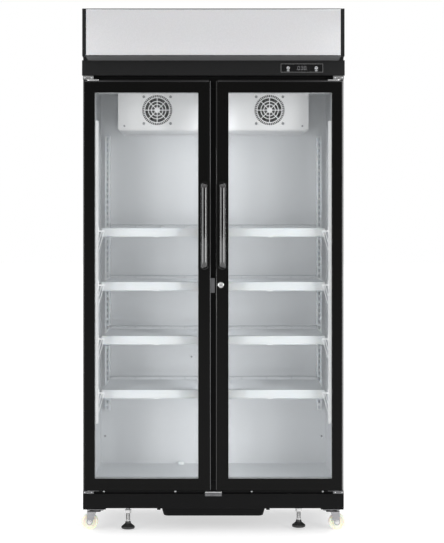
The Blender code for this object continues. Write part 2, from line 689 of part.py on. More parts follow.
# ---- canopy -------------------------------------------------------------------------------
def build_canopy():
    """Light box with end caps, its lit front panel and its tube."""
    profile = [(CANOPY_FRONT, CANOPY_LIP), (DOOR_FRONT, FASCIA_TOP + GAP),
               (CANOPY_BACK, FASCIA_TOP + GAP), (CANOPY_BACK, CANOPY_TOP),
               (CANOPY_FRONT, CANOPY_TOP)]
    along_x = Matrix(((0, 0, 1, 0), (1, 0, 0, 0), (0, 1, 0, 0), (0, 0, 0, 1)))
    housing = plate("canopy_housing", profile, 2 * CANOPY_HALF, along_x, BLACK_PAINT)
    inner_half = CANOPY_HALF - CANOPY_CAP
    inner = [(CANOPY_FRONT - 0.01, CANOPY_LIP + CANOPY_SHEET),
             (CANOPY_FRONT + 0.001, CANOPY_LIP + CANOPY_SHEET),
             (DOOR_FRONT, FASCIA_TOP + CANOPY_SHEET), (CANOPY_BACK - CANOPY_SHEET,
                                                       FASCIA_TOP + CANOPY_SHEET),
             (CANOPY_BACK - CANOPY_SHEET, CANOPY_TOP - CANOPY_SHEET),
             (CANOPY_FRONT - 0.01, CANOPY_TOP - CANOPY_SHEET)]
    hollow = plate("canopy_hollow", inner, 2 * inner_half, along_x)
    cut(housing, hollow)
    box("sign_panel", (-inner_half + GAP, CANOPY_FRONT, CANOPY_LIP + CANOPY_SHEET + GAP),
        (inner_half - GAP, CANOPY_FRONT + 0.003, CANOPY_TOP - CANOPY_SHEET - GAP), SIGN_WHITE)
    tube = rod("sign_tube", 0.008, 0.880, (0, -0.262, 1.897), "X", LAMP_WHITE)
    for sign in SIDES.values():
        xs = sorted((sign * 0.432, sign * 0.446))
        socket = box("tube_socket", (xs[0], -0.272, 1.885),
                     (xs[1], CANOPY_BACK - CANOPY_SHEET - GAP, 1.909))
        fuse(tube, socket)


def build_fascia():
    """Control panel above the doors with the display unit and its two keys."""
    half = WIDTH / 2
    fascia = open_box("fascia", (-half, DOOR_FRONT, FASCIA_LOW),
                      (half, BODY_FRONT - GAP, FASCIA_TOP), [(0, 1, 0)], FASCIA_WALL, BLACK_PAINT)
    middle_z = (DISPLAY_Z[0] + DISPLAY_Z[1]) / 2
    display = box("display", (DISPLAY_X[0], DOOR_FRONT - 0.0023, DISPLAY_Z[0]),
                  (DISPLAY_X[1], DOOR_FRONT - GAP, DISPLAY_Z[1]), GLOSS_BLACK)
    for index, x in enumerate(BUTTON_X):
        cut(fascia, rod("fascia_hole_%d" % index, BUTTON_RADIUS + 0.001, 0.02,
                        (x, DOOR_FRONT, middle_z), "Y"))
        cut(display, rod("display_hole_%d" % index, BUTTON_RADIUS + 0.0004, 0.02,
                         (x, DOOR_FRONT, middle_z), "Y"))
        key = rod("button_%d" % (index + 1), BUTTON_RADIUS, 0.009,
                  (x, DOOR_FRONT + 0.0008, middle_z), "Y", SOFT_BLACK, sides=20)
        pivot("button_%d_travel" % (index + 1), (x, DOOR_FRONT, middle_z), [key])


# ---- cooling ------------------------------------------------------------------------------
def fan_rotor(name, centre, axis, radius, hub, depth, blades, material):
    """Hub with pitched blades, all in one piece."""
    rotor = rod(name, hub, depth, centre, axis, material, sides=20)
    turn = rotor_frame(centre, axis)
    for index in range(blades):
        spread = radius - hub + 0.003
        blade = box("%s_blade_%d" % (name, index), (-spread / 2, -hub * 0.62, -0.0009),
                    (spread / 2, hub * 0.62, 0.0009))
        pitch = Matrix.Rotation(math.radians(32), 4, "X")
        out = Matrix.Translation((hub - 0.003 + spread / 2, 0, 0))
        around = Matrix.Rotation(2 * math.pi * index / blades, 4, "Z")
        blade.matrix_world = turn @ around @ out @ pitch
        fuse(rotor, blade)
    return rotor


def rotor_frame(centre, axis):
    turns = AXIS_TURNS[axis]
    return (Matrix.Translation(centre) @ Matrix.Rotation(turns[2], 4, "Z")
            @ Matrix.Rotation(turns[1], 4, "Y") @ Matrix.Rotation(turns[0], 4, "X"))


def build_evaporator():
    """Cover under the ceiling, two guarded fans in its front, and the finned coil inside."""
    cover = open_box("evaporator_cover", (-EVAPORATOR_HALF, EVAPORATOR_FRONT, EVAPORATOR_LOW),
                     (EVAPORATOR_HALF, INSIDE_BACK - GAP, CEILING - GAP),
                     [(0, 0, 1), (0, 1, 0)], 0.002, WHITE_COVER)
    for side, sign in SIDES.items():
        centre = (sign * FAN_X, EVAPORATOR_FRONT, FAN_Z)
        cut(cover, rod("fan_hole_" + side, FAN_HOLE, 0.02, centre, "Y", sides=40))
        build_guard("fan_guard_" + side, centre)
        hub = (sign * FAN_X, EVAPORATOR_FRONT + 0.024, FAN_Z)
        rotor = fan_rotor("fan_rotor_" + side, hub, "Y", 0.052, 0.017, 0.022, 7, FAN_BLACK)
        pivot("fan_%s_spin" % side, hub, [rotor])
    coil = box("evaporator_coil", (-0.332, 0.060, 1.570), (-0.330, 0.260, 1.700), FIN_ALUMINIUM)
    pitch = 0.660 / COIL_FINS
    for index in range(COIL_FINS):
        x = -0.330 + (index + 1) * pitch
        fuse(coil, box("coil_fin_%d" % index, (x - 0.001, 0.060, 1.570), (x + 0.001, 0.260, 1.700)))
    for index, y in enumerate((0.110, 0.210)):
        fuse(coil, rod("coil_tube_%d" % index, 0.006, 0.700, (0, y, 1.635), "X", sides=8))


def ring_profile(inner, outer, thick):
    return [(inner, thick / 2), (outer, thick / 2), (outer, -thick / 2), (inner, -thick / 2)]


def build_guard(name, centre):
    """Fan guard in front of the cover: rings on eight spokes round a plain hub."""
    thick = 0.0025
    at = Vector(centre) - Vector((0, thick / 2 + GAP, 0))
    guard = turned(name, ring_profile(0.0515, 0.0595, thick), at, "Y", WHITE_COVER, 24, ring=True)
    fuse(guard, turned(name + "_inner_ring", ring_profile(0.029, 0.032, thick * 0.9), at, "Y",
                       steps=16, ring=True))
    for index in range(4):
        spoke = box("%s_spoke_%d" % (name, index), (-0.053, -0.0011, -0.0010),
                    (0.053, 0.0011, 0.0010))
        spoke.matrix_world = rotor_frame(at, "Y") @ Matrix.Rotation(index * math.pi / 4, 4, "Z")
        fuse(guard, spoke)
    fuse(guard, rod(name + "_hub", 0.009, thick * 0.95, at, "Y", sides=16))


def build_cooling_unit():
    """Compressor, finned condenser with its shroud, and the condenser fan on the deck."""
    deck = ROOF + GAP
    x, y = -0.030, 0.080
    pot = [(0, 0.178), (0.040, 0.174), (0.066, 0.160), (0.080, 0.135), (0.083, 0.100),
           (0.083, 0.060), (0.078, 0.035), (0.060, 0.020), (0, 0.016)]
    compressor = turned("compressor", pot, (x, y, deck), "Z", BLACK_PAINT, steps=20)
    feet = box("compressor_feet", (x - 0.105, y - 0.060, deck + 0.012),
               (x + 0.105, y + 0.060, deck + 0.026))
    fuse(compressor, feet)
    for sx in (-1, 1):
        for sy in (-1, 1):
            fuse(compressor, rod("mount_rubber", 0.011, 0.0145,
                                 (x + sx * 0.090, y + sy * 0.046, deck + 0.00725), sides=12))
    cut(compressor, rod("pot_inside", 0.055, 0.140, (x, y, deck + 0.060), sides=20))
    ys = (-0.130, 0.270)
    condenser = box("condenser", (0.270, ys[0], deck), (0.350, ys[1], deck + 0.185),
                    FIN_ALUMINIUM)
    fin = 0.003
    space = (ys[1] - ys[0] - fin) / CONDENSER_FINS - fin
    for index in range(CONDENSER_FINS):
        start = ys[0] + fin + index * (space + fin)
        cut(condenser, box("condenser_gap_%d" % index, (0.26, start, deck + 0.008),
                           (0.36, start + space, deck + 0.177)))
    shroud = box("condenser_shroud", (0.264, ys[0] - 0.005, deck + 0.001),
                 (0.2705, ys[1] + 0.005, deck + 0.187))
    centre_y = (ys[0] + ys[1]) / 2
    centre_z = deck + 0.094
    cut(shroud, rod("shroud_hole", 0.084, 0.02, (0.267, centre_y, centre_z), "X", sides=32))
    fuse(condenser, shroud)
    rotor_at = (0.250, centre_y, centre_z)
    rotor = fan_rotor("condenser_fan", rotor_at, "X", 0.078, 0.022, 0.020, 5, FAN_BLACK)
    pivot("condenser_fan_spin", rotor_at, [rotor])


def build_rear_grille():
    """Slotted panel across the back of the cooling unit."""
    half = WIDTH / 2 - SHEET - GAP
    grille = box("rear_grille", (-half, BODY_BACK - SHEET, ROOF + GAP),
                 (half, BODY_BACK, SIDE_TOP), BLACK_PAINT)
    mesh = bpy.data.meshes.new("grille_slots")
    shape = bmesh.new()
    size = Matrix.Diagonal((0.200, 0.02, 0.008, 1.0))
    for column in range(4):
        for row in range(6):
            middle = (-0.354 + 0.236 * column, BODY_BACK, ROOF + 0.045 + 0.024 * row)
            bmesh.ops.create_cube(shape, size=1.0, matrix=Matrix.Translation(middle) @ size)
    shape.to_mesh(mesh)
    shape.free()
    cut(grille, add("grille_slots", mesh))


build_shell()
build_liner()
build_mullion()
build_pilasters()
build_shelves()
build_plinth()
build_base_frame()
build_drain_pan()
build_casters()
build_feet()
for door_side, door_sign in SIDES.items():
    build_door(door_side, door_sign)
build_canopy()
build_fascia()
build_evaporator()
build_cooling_unit()
build_rear_grille()
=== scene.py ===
import math

import bmesh
import bpy
from mathutils import Matrix, Vector


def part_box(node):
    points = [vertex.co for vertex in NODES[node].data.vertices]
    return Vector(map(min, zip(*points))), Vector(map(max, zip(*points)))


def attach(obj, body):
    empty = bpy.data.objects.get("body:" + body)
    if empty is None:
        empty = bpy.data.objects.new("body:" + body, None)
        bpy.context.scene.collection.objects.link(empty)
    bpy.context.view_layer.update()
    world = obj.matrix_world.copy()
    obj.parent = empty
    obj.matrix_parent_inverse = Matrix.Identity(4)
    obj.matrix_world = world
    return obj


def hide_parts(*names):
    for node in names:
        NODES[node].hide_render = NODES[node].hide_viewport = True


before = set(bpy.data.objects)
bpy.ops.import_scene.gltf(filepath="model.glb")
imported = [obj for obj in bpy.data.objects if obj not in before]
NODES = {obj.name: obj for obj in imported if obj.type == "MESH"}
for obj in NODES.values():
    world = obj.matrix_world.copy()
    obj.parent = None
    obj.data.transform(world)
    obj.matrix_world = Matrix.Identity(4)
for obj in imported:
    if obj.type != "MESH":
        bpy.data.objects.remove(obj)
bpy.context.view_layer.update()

GAP = 0.0003                    # between pieces that touch
SIDES = {"left": -1, "right": 1}
UP, DOWN, RIGHT, FORWARD, BACK = (0, 0, 1), (0, 0, -1), (1, 0, 0), (0, -1, 0), (0, 1, 0)
WHITE = (1.0, 1.0, 1.0)


# ---- materials ----------------------------------------------------------------------------
def new_material(name):
    material = bpy.data.materials.new(name)
    material.use_nodes = True
    tree = material.node_tree
    return material, tree, tree.nodes["Principled BSDF"]


def noise(tree, scale, detail=3.0, stretch=(1, 1, 1), cells=False):
    """A noise or cell pattern in the frame's own metres, as its factor socket."""
    coords = tree.nodes.new("ShaderNodeTexCoord")
    mapping = tree.nodes.new("ShaderNodeMapping")
    mapping.inputs["Scale"].default_value = stretch
    tree.links.new(coords.outputs["Object"], mapping.inputs["Vector"])
    if cells:
        texture = tree.nodes.new("ShaderNodeTexVoronoi")
        socket = texture.outputs["Color"]
    else:
        texture = tree.nodes.new("ShaderNodeTexNoise")
        texture.inputs["Detail"].default_value = detail
        socket = texture.outputs["Fac"]
    texture.inputs["Scale"].default_value = scale
    tree.links.new(mapping.outputs["Vector"], texture.inputs["Vector"])
    return socket


def spread(tree, socket, low, high, source=(0.3, 0.7)):
    """Maps a source range, by default the middle of a noise's range, to low..high."""
    node = tree.nodes.new("ShaderNodeMapRange")
    node.inputs["From Min"].default_value = source[0]
    node.inputs["From Max"].default_value = source[1]
    node.inputs["To Min"].default_value = low
    node.inputs["To Max"].default_value = high
    tree.links.new(socket, node.inputs["Value"])
    return node.outputs["Result"]


def blend_colours(tree, factor, first, second):
    """Two colours mixed by a factor.  Each is a socket, an RGB triple or one number for a grey."""
    node = tree.nodes.new("ShaderNodeMix")
    node.data_type = "RGBA"
    tree.links.new(factor, node.inputs["Factor"])
    for index, colour in ((6, first), (7, second)):
        if isinstance(colour, bpy.types.NodeSocket):
            tree.links.new(colour, node.inputs[index])
        else:
            rgb = colour if isinstance(colour, tuple) else (colour,) * 3
            node.inputs[index].default_value = (*rgb, 1.0)
    return node.outputs[2]


def combine(tree, operation, first, second):
    """The sum or product of two factor sockets."""
    node = tree.nodes.new("ShaderNodeMath")
    node.operation = operation
    tree.links.new(first, node.inputs[0])
    tree.links.new(second, node.inputs[1])
    return node.outputs["Value"]


def edge_mask(tree, radius):
    """High on sharp convex and concave edges, broken up by noise, for wear."""
    rounded = tree.nodes.new("ShaderNodeBevel")
    rounded.samples = 4
    rounded.inputs["Radius"].default_value = radius
    flat = tree.nodes.new("ShaderNodeNewGeometry")
    dot = tree.nodes.new("ShaderNodeVectorMath")
    dot.operation = "DOT_PRODUCT"
    tree.links.new(rounded.outputs["Normal"], dot.inputs[0])
    tree.links.new(flat.outputs["Normal"], dot.inputs[1])
    edge = spread(tree, dot.outputs["Value"], 1.0, 0.0, (0.80, 0.98))
    patches = spread(tree, noise(tree, 60.0), 0.0, 1.0, (0.42, 0.62))
    return combine(tree, "MULTIPLY", edge, patches)


def surface(name, base, tint, rough=(0.30, 0.42), metallic=0.0, patch=5.0, grain=500.0,
            bump=0.08, depth=0.0002, stretch=(1, 1, 1), cells=False, wear=None, specular=0.5,
            glow=(WHITE, 0.0), **values):
    """A procedural finish: patchy colour, grainy roughness, fine bump and worn edges.

    patch and grain are the scales of the colour's noise and of the fine noise.  wear is the
    colour of rubbed edges, and glow a colour and a strength.
    """
    material, tree, shader = new_material(name)
    colour = blend_colours(tree, noise(tree, patch, 4.0, stretch, cells), base, tint)
    if wear is not None:
        colour = blend_colours(tree, edge_mask(tree, 0.0012), colour, wear)
    tree.links.new(colour, shader.inputs["Base Color"])
    fine = noise(tree, grain, 2.0, stretch)
    tree.links.new(spread(tree, fine, *rough), shader.inputs["Roughness"])
    relief = tree.nodes.new("ShaderNodeBump")
    relief.inputs["Strength"].default_value = bump
    relief.inputs["Distance"].default_value = depth
    tree.links.new(fine, relief.inputs["Height"])
    tree.links.new(relief.outputs["Normal"], shader.inputs["Normal"])
    shader.inputs["Metallic"].default_value = metallic
    shader.inputs["Specular IOR Level"].default_value = specular
    shader.inputs["Emission Color"].default_value = (*glow[0], 1.0)
    shader.inputs["Emission Strength"].default_value = glow[1]
    for socket, value in values.items():
        shader.inputs[socket.replace("_", " ")].default_value = value
    return material


def pane_material(name):
    """Clear float glass: see-through, with a thin Fresnel gloss and a trace of haze."""
    material, tree, shader = new_material(name)
    shader.inputs["Base Color"].default_value = (0.84, 0.86, 0.86, 1.0)
    tree.links.new(spread(tree, noise(tree, 9.0), 0.02, 0.05), shader.inputs["Roughness"])
    clear = tree.nodes.new("ShaderNodeBsdfTransparent")
    clear.inputs["Color"].default_value = (0.992, 0.993, 0.993, 1.0)
    weight = tree.nodes.new("ShaderNodeFresnel")
    weight.inputs["IOR"].default_value = 1.25
    haze = spread(tree, noise(tree, 3.0, 5.0), 0.000, 0.006)
    total = combine(tree, "ADD", weight.outputs["Fac"], haze)
    mix = tree.nodes.new("ShaderNodeMixShader")
    tree.links.new(total, mix.inputs["Fac"])
    tree.links.new(clear.outputs["BSDF"], mix.inputs[1])
    tree.links.new(shader.outputs["BSDF"], mix.inputs[2])
    tree.links.new(mix.outputs["Shader"], tree.nodes["Material Output"].inputs["Surface"])
    return material


CABINET = surface("cabinet_paint", (0.0022, 0.0022, 0.0023), (0.0038, 0.0038, 0.0040),
                  (0.30, 0.40), grain=700.0, wear=(0.022, 0.022, 0.023), specular=0.10)
FRAME = surface("door_frame_black", (0.0016, 0.0016, 0.0015), (0.0028, 0.0027, 0.0025),
                (0.20, 0.28), patch=3.0, grain=420.0, bump=0.05, wear=(0.020, 0.020, 0.021),
                specular=0.10)
CANOPY = surface("canopy_black", (0.0040, 0.0041, 0.0044), (0.0060, 0.0061, 0.0064),
                 (0.26, 0.36), grain=600.0, wear=(0.030, 0.030, 0.032), specular=0.30)
HANDLE = surface("handle_gloss_black", (0.0020, 0.0020, 0.0021), (0.0036, 0.0036, 0.0037),
                 (0.05, 0.09), patch=20.0, grain=260.0, bump=0.02, specular=0.6,
                 Coat_Weight=1.0, Coat_Roughness=0.04)
DISPLAY = surface("display_gloss_black", (0.0030, 0.0030, 0.0032), (0.0045, 0.0045, 0.0048),
                  (0.06, 0.12), patch=30.0, grain=300.0, bump=0.02, specular=0.4)
# The valance is mid grey, far lighter than the black canopy: painted light standing in for the
# floor light it catches underneath.
VALANCE_PAINTED_FLOOR_LIGHT = surface("valance_painted_floor_light", (0.088, 0.089, 0.091), (0.102, 0.103, 0.105), (0.40, 0.52),
                  patch=14.0, grain=700.0, bump=0.15, specular=0.30)
LINER = surface("liner_white", (0.715, 0.732, 0.750), (0.755, 0.770, 0.785), (0.32, 0.46),
                patch=6.0, grain=260.0, bump=0.10, depth=0.0003, specular=0.4)
COVER = surface("evaporator_cover_white", (0.80, 0.802, 0.808), (0.835, 0.837, 0.84),
                (0.38, 0.50), patch=8.0, grain=380.0, bump=0.10, specular=0.35)
SIGN = surface("sign_acrylic", (0.442, 0.426, 0.434), (0.466, 0.450, 0.458), (0.24, 0.30),
               patch=1.6, grain=300.0, bump=0.02, specular=0.35, Subsurface_Weight=0.08)
TRIM = surface("trim_grey", (0.50, 0.51, 0.52), (0.57, 0.58, 0.59), (0.30, 0.42), 0.6,
               patch=40.0, grain=240.0, bump=0.06, stretch=(0.05, 1, 1))
RAIL = surface("price_rail_white", 0.90, 0.94, (0.18, 0.26), patch=12.0, grain=200.0, bump=0.03,
               stretch=(0.1, 1, 1), Subsurface_Weight=0.15)
WIRE = surface("shelf_wire_white", (0.50, 0.52, 0.54), (0.57, 0.59, 0.61), (0.28, 0.40),
               patch=30.0, grain=500.0, bump=0.10)
# This white glows faintly though it is no lamp: painted light that brightens the front shelf
# standards, the shelf clips and the lamp holders.
CHANNEL_PAINTED_GLOW = surface("shelf_standard_white", (0.88, 0.885, 0.885), (0.93, 0.935, 0.935),
                  (0.26, 0.36), patch=18.0, grain=420.0, glow=((0.97, 0.99, 1.0), 0.20))
SPACER = surface("spacer_bar", (0.74, 0.75, 0.76), (0.82, 0.83, 0.84), (0.34, 0.46), 0.1,
                 patch=60.0, grain=300.0, bump=0.10)
LAMP = surface("lamp_lens", (0.86, 0.88, 0.90), (0.92, 0.93, 0.94), (0.25, 0.35), patch=20.0,
               grain=300.0, bump=0.04, glow=((0.93, 0.96, 1.0), 0.5))
TUBE = surface("sign_lamp", (0.88, 0.89, 0.90), 0.93, (0.12, 0.20), patch=20.0, grain=300.0,
               bump=0.02)
NYLON = surface("wheel_nylon", (0.78, 0.745, 0.60), (0.86, 0.835, 0.72), (0.28, 0.40),
                patch=55.0, grain=320.0, bump=0.10, Subsurface_Weight=0.35)
GALVANISED = surface("galvanised_steel", (0.34, 0.35, 0.36), (0.44, 0.45, 0.46), (0.34, 0.48),
                     0.9, patch=110.0, grain=150.0, bump=0.05, cells=True, wear=0.24)
ZINC = surface("zinc_plate", (0.30, 0.30, 0.31), (0.42, 0.42, 0.43), (0.24, 0.38), 1.0,
               patch=45.0, grain=420.0, wear=(0.60, 0.60, 0.59))
# Darker steel: painted shade on the bottom hinges, the stop bracket and the caster races, which sit
# in shade; the lock strike uses it too.
DARKENED_STEEL = surface("darkened_steel", (0.10, 0.10, 0.105), (0.17, 0.17, 0.175), (0.30, 0.42), 0.8,
               patch=45.0, grain=420.0, wear=(0.45, 0.45, 0.44))
BRIGHT = surface("bright_steel", 0.60, 0.76, (0.12, 0.24), 1.0, patch=30.0, grain=240.0,
                 stretch=(0.08, 1, 1))
FINS = surface("fin_aluminium", (0.58, 0.59, 0.60), (0.72, 0.73, 0.74), (0.30, 0.45), 1.0,
               patch=80.0, grain=300.0)
COPPER = surface("copper_tube", (0.62, 0.29, 0.16), (0.78, 0.42, 0.26), (0.24, 0.42), 1.0,
                 patch=60.0, grain=300.0, wear=(0.30, 0.14, 0.08))
SCREW = surface("screw_zinc", (0.50, 0.51, 0.52), (0.68, 0.69, 0.70), (0.24, 0.38), 1.0,
                patch=300.0, grain=900.0, bump=0.10)
WHITE_SCREW = surface("screw_grey", (0.24, 0.25, 0.26), (0.34, 0.35, 0.36), (0.30, 0.45), 0.7,
                      patch=300.0, grain=900.0, bump=0.10)
# The lighter grey is the display bezel's own grey and also a painted highlight on the right door's
# outer edge; the darker one is a painted highlight on the left door's outer edge.
BEZEL_GREY_AND_EDGE_HIGHLIGHT = surface("bezel_grey_and_painted_edge_highlight", 0.13, 0.18, (0.30, 0.40), patch=40.0, bump=0.06)
EDGE_HIGHLIGHT_DIM = surface("painted_edge_highlight_dim", 0.030, 0.048, (0.30, 0.40), patch=40.0, bump=0.06)
RUBBER = surface("seal_rubber", 0.011, 0.019, (0.55, 0.75), patch=40.0, grain=900.0, bump=0.25)
PLASTIC = surface("moulded_black_plastic", 0.012, 0.020, (0.36, 0.52), patch=22.0,
                  grain=1100.0, bump=0.30)
# This near black also makes a ring of painted shade under the fan guards' ribs.
DARK = surface("keyway_dark", 0.002, 0.004, (0.4, 0.6), patch=300.0, grain=900.0, bump=0.10,
               specular=0.10)
# The keys' grey also makes a painted highlight on the left door's inner edge.
KEY = surface("key_grey", (0.060, 0.062, 0.065), (0.085, 0.087, 0.090), (0.22, 0.34),
              patch=200.0, grain=900.0, bump=0.12)
READOUT = surface("readout_grey", (0.13, 0.13, 0.135), (0.17, 0.17, 0.175), (0.35, 0.45),
                  patch=300.0, grain=900.0, bump=0.05, glow=((0.5, 0.5, 0.52), 0.06))
ICON = surface("icon_white", (0.45, 0.46, 0.47), (0.58, 0.59, 0.60), (0.35, 0.45), patch=300.0,
               grain=900.0, bump=0.05)
GLASS = pane_material("door_pane")


def paint(material, *names):
    """Gives carried-over nodes a finish."""
    for name in names:
        data = NODES[name].data
        data.materials.clear()
        data.materials.append(material)


# ---- mesh building ------------------------------------------------------------------------
def facing(centre, direction):
    """A matrix that puts local +Z along a direction, at a centre."""
    turn = Vector(direction).to_track_quat("Z", "Y").to_matrix().to_4x4()
    return Matrix.Translation(centre) @ turn


def circle(radius, steps, wide=1.0):
    turns = [2 * math.pi * index / steps for index in range(steps)]
    return [(radius * wide * math.cos(a), radius * math.sin(a)) for a in turns]


def rounded_path(points, radius, steps=6):
    """A polyline with each inner corner turned into a smooth bend."""
    points = [Vector(point) for point in points]
    path = [points[0]]
    for before, corner, after in zip(points, points[1:], points[2:]):
        start = corner + (before - corner).normalized() * radius
        end = corner + (after - corner).normalized() * radius
        for index in range(steps + 1):
            t = index / steps
            path.append(start * (1 - t) ** 2 + corner * 2 * t * (1 - t) + end * t ** 2)
    path.append(points[-1])
    return path


def rectangle(low, high, grow=0.0):
    """Corners of an upright rectangle (x, z), made larger by grow."""
    return [(low[0] - grow, low[1] - grow), (high[0] + grow, low[1] - grow),
            (high[0] + grow, high[1] + grow), (low[0] - grow, high[1] + grow)]


class Shape:
    """Closed solids collected into one mesh."""

    def __init__(self):
        self.mesh = bmesh.new()

    def box(self, first, second, bevel=0.0, segments=2, place=None):
        """A box between any two opposite corners."""
        low = Vector(map(min, first, second))
        high = Vector(map(max, first, second))
        scale = Matrix.Diagonal((*(high - low), 1.0))
        middle = Matrix.Translation((low + high) / 2)
        made = bmesh.ops.create_cube(self.mesh, size=1.0, matrix=middle @ scale)["verts"]
        if place is not None:
            bmesh.ops.transform(self.mesh, matrix=place, verts=made)
        if bevel:
            edges = list({edge for vert in made for edge in vert.link_edges})
            bmesh.ops.bevel(self.mesh, geom=edges, offset=bevel, offset_type="OFFSET",
                            segments=segments, profile=0.5, affect="EDGES")
        return self

    def skin(self, rings, closed=False):
        """Faces between rings of points.  A ring of one point is a pole."""
        rows = [[self.mesh.verts.new(point) for point in ring] for ring in rings]
        pairs = list(zip(rows, rows[1:]))
        if closed:
            pairs.append((rows[-1], rows[0]))
        for first, second in pairs:
            count = max(len(first), len(second))
            for index in range(count):
                after = (index + 1) % count
                corners = [first[index % len(first)], first[after % len(first)],
                           second[after % len(second)], second[index % len(second)]]
                self.mesh.faces.new(list(dict.fromkeys(corners)))
        if not closed:
            for row in (rows[0], rows[-1]):
                if len(row) > 2:
                    self.mesh.faces.new(row)
        return self

    def lathe(self, profile, centre, axis=UP, steps=32, ring=False):
        """A turned solid from (radius, height) points along an axis."""
        place = facing(centre, axis)
        rings = []
        for radius, height in profile:
            points = circle(radius, steps) if radius > 0 else [(0.0, 0.0)]
            rings.append([place @ Vector((x, y, height)) for x, y in points])
        return self.skin(rings, ring)

    def rod(self, start, end, radius, steps=16, chamfer=0.0):
        start, end = Vector(start), Vector(end)
        length = (end - start).length
        profile = [(radius, chamfer), (radius, length - chamfer)]
        if chamfer:
            profile = [(radius - chamfer, 0.0), *profile, (radius - chamfer, length)]
        return self.lathe(profile, start, end - start, steps)

    def tube(self, points, radius, steps=10, wide=1.0):
        """A round or oval bar along a path."""
        points = [Vector(point) for point in points]
        tangent = (points[1] - points[0]).normalized()
        normal = tangent.orthogonal().normalized() if wide == 1.0 else Vector(RIGHT)
        rings = []
        for index, point in enumerate(points):
            tangent = (points[min(index + 1, len(points) - 1)]
                       - points[max(index - 1, 0)]).normalized()
            normal = (normal - tangent * normal.dot(tangent)).normalized()
            side = tangent.cross(normal)
            rings.append([point + normal * x + side * y
                          for x, y in circle(radius, steps, wide)])
        return self.skin(rings)

    def prism(self, outline, start, end, place=None):
        """A 2D outline (x, y) run from start to end along local Z."""
        place = place or Matrix.Identity(4)
        return self.skin([[place @ Vector((x, y, z)) for x, y in outline] for z in (start, end)])

    def picture_frame(self, outer, inner, front, back, lip=0.0):
        """A rectangular ring.  outer and inner are (x, z) corners; lip slopes the front."""
        layers = ((outer, front + lip), (inner, front), (inner, back), (outer, back))
        return self.skin([[Vector((x, depth, z)) for x, z in corners]
                          for corners, depth in layers], closed=True)

    def screw(self, at, direction, radius, height=None):
        """A pan-head screw with a recess."""
        height = height or radius * 0.5
        profile = [(0, height * 0.45), (radius * 0.30, height * 0.45),
                   (radius * 0.42, height), (radius * 0.75, height * 0.85),
                   (radius, height * 0.30), (radius, 0), (0, 0)]
        return self.lathe(profile, at, direction, 14)

    def hexagon(self, at, direction, across, height):
        """A hex head or nut with chamfered corners."""
        radius = across / math.sqrt(3)
        place = facing(at, direction)
        return self.skin([[place @ Vector((x, y, level * height))
                           for x, y in circle(radius * size, 6)]
                          for size, level in ((0.90, 0.0), (1.0, 0.12), (1.0, 0.88), (0.90, 1.0))])

    def done(self, name, material, body="cabinet", slot=None, stands_for=(), smooth=32.0):
        """Makes the piece, on its body.  Edges sharper than smooth degrees stay hard."""
        bmesh.ops.recalc_face_normals(self.mesh, faces=self.mesh.faces)
        mesh = bpy.data.meshes.new(name)
        self.mesh.to_mesh(mesh)
        self.mesh.free()
        mesh.materials.append(material)
        mesh.shade_smooth()
        mesh.set_sharp_from_angle(angle=math.radians(smooth))
        piece = bpy.data.objects.new(name, mesh)
        bpy.context.scene.collection.objects.link(piece)
        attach(piece, body)
        if stands_for:
            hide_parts(*stands_for)


def screws(name, spots, radius, height=None, direction=FORWARD, material=SCREW):
    heads = Shape()
    for spot in spots:
        heads.screw(spot, direction, radius, height)
    heads.done(name, material)


# ---- places read from the frame -----------------------------------------------------------
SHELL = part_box("outer_shell")
LINER_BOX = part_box("liner")
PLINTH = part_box("plinth")
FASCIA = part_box("fascia")
SIGN_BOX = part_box("sign_panel")
COVER_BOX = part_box("evaporator_cover")
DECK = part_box("compressor")[0].z - GAP
DOOR_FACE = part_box("door_left_frame")[0].y
INSIDE_BACK = LINER_BOX[1].y - 0.001
INSIDE_FLOOR = LINER_BOX[0].z + 0.001
OPENING = ((-0.464, 0.198), (0.464, 1.700))     # door opening in the front flange, (x, z)
GLASS_GRIP = 0.0077                             # how far a glass unit reaches into its frame


# ---- cabinet body -------------------------------------------------------------------------
def folded_side(sign):
    """Side panel with rounded folds at the front and back."""
    outer = sign * SHELL[1].x
    front, back = SHELL[0].y, SHELL[1].y
    path = rounded_path([(outer - sign * 0.022, front, 0), (outer, front, 0), (outer, back, 0),
                         (outer - sign * 0.024, back, 0)], 0.004, 5)
    thick = 0.0010
    inner = []
    for index, point in enumerate(path):
        along = (path[min(index + 1, len(path) - 1)] - path[max(index - 1, 0)]).normalized()
        inner.append(point + Vector((-along.y, along.x, 0)) * thick * sign)
    outline = [(point.x, point.y) for point in path + inner[::-1]]
    return Shape().prism(outline, SHELL[0].z, SHELL[1].z)


def build_stiffeners():
    """Ribs on the back panel, with their screws."""
    low, high = SHELL
    front, back = high.y - 0.0031, high.y - 0.0001
    edge, rib, half = low.x + 0.026, 0.050, 0.030
    strips = Shape()
    for x0, x1 in ((edge, edge + rib), (-half, half), (-edge - rib, -edge)):
        strips.box((x0, front, low.z), (x1, back, DECK), 0.0012)
    for z in (low.z, low.z + 0.52, low.z + 1.06, DECK - 0.040):
        for x0, x1 in ((edge + rib, -half), (half, -edge - rib)):
            strips.box((x0, front, z), (x1, back - 0.0006, z + 0.040), 0.0010)
    strips.done("back_stiffeners", GALVANISED, slot="zinc_steel")
    rise = (DECK - low.z - 0.1) / 8
    screws("back_screws", [(x, back - 0.0012, low.z + 0.05 + row * rise)
                           for x in (edge + rib / 2, 0.0, -edge - rib / 2) for row in range(9)],
           0.0042, 0.0012, BACK)


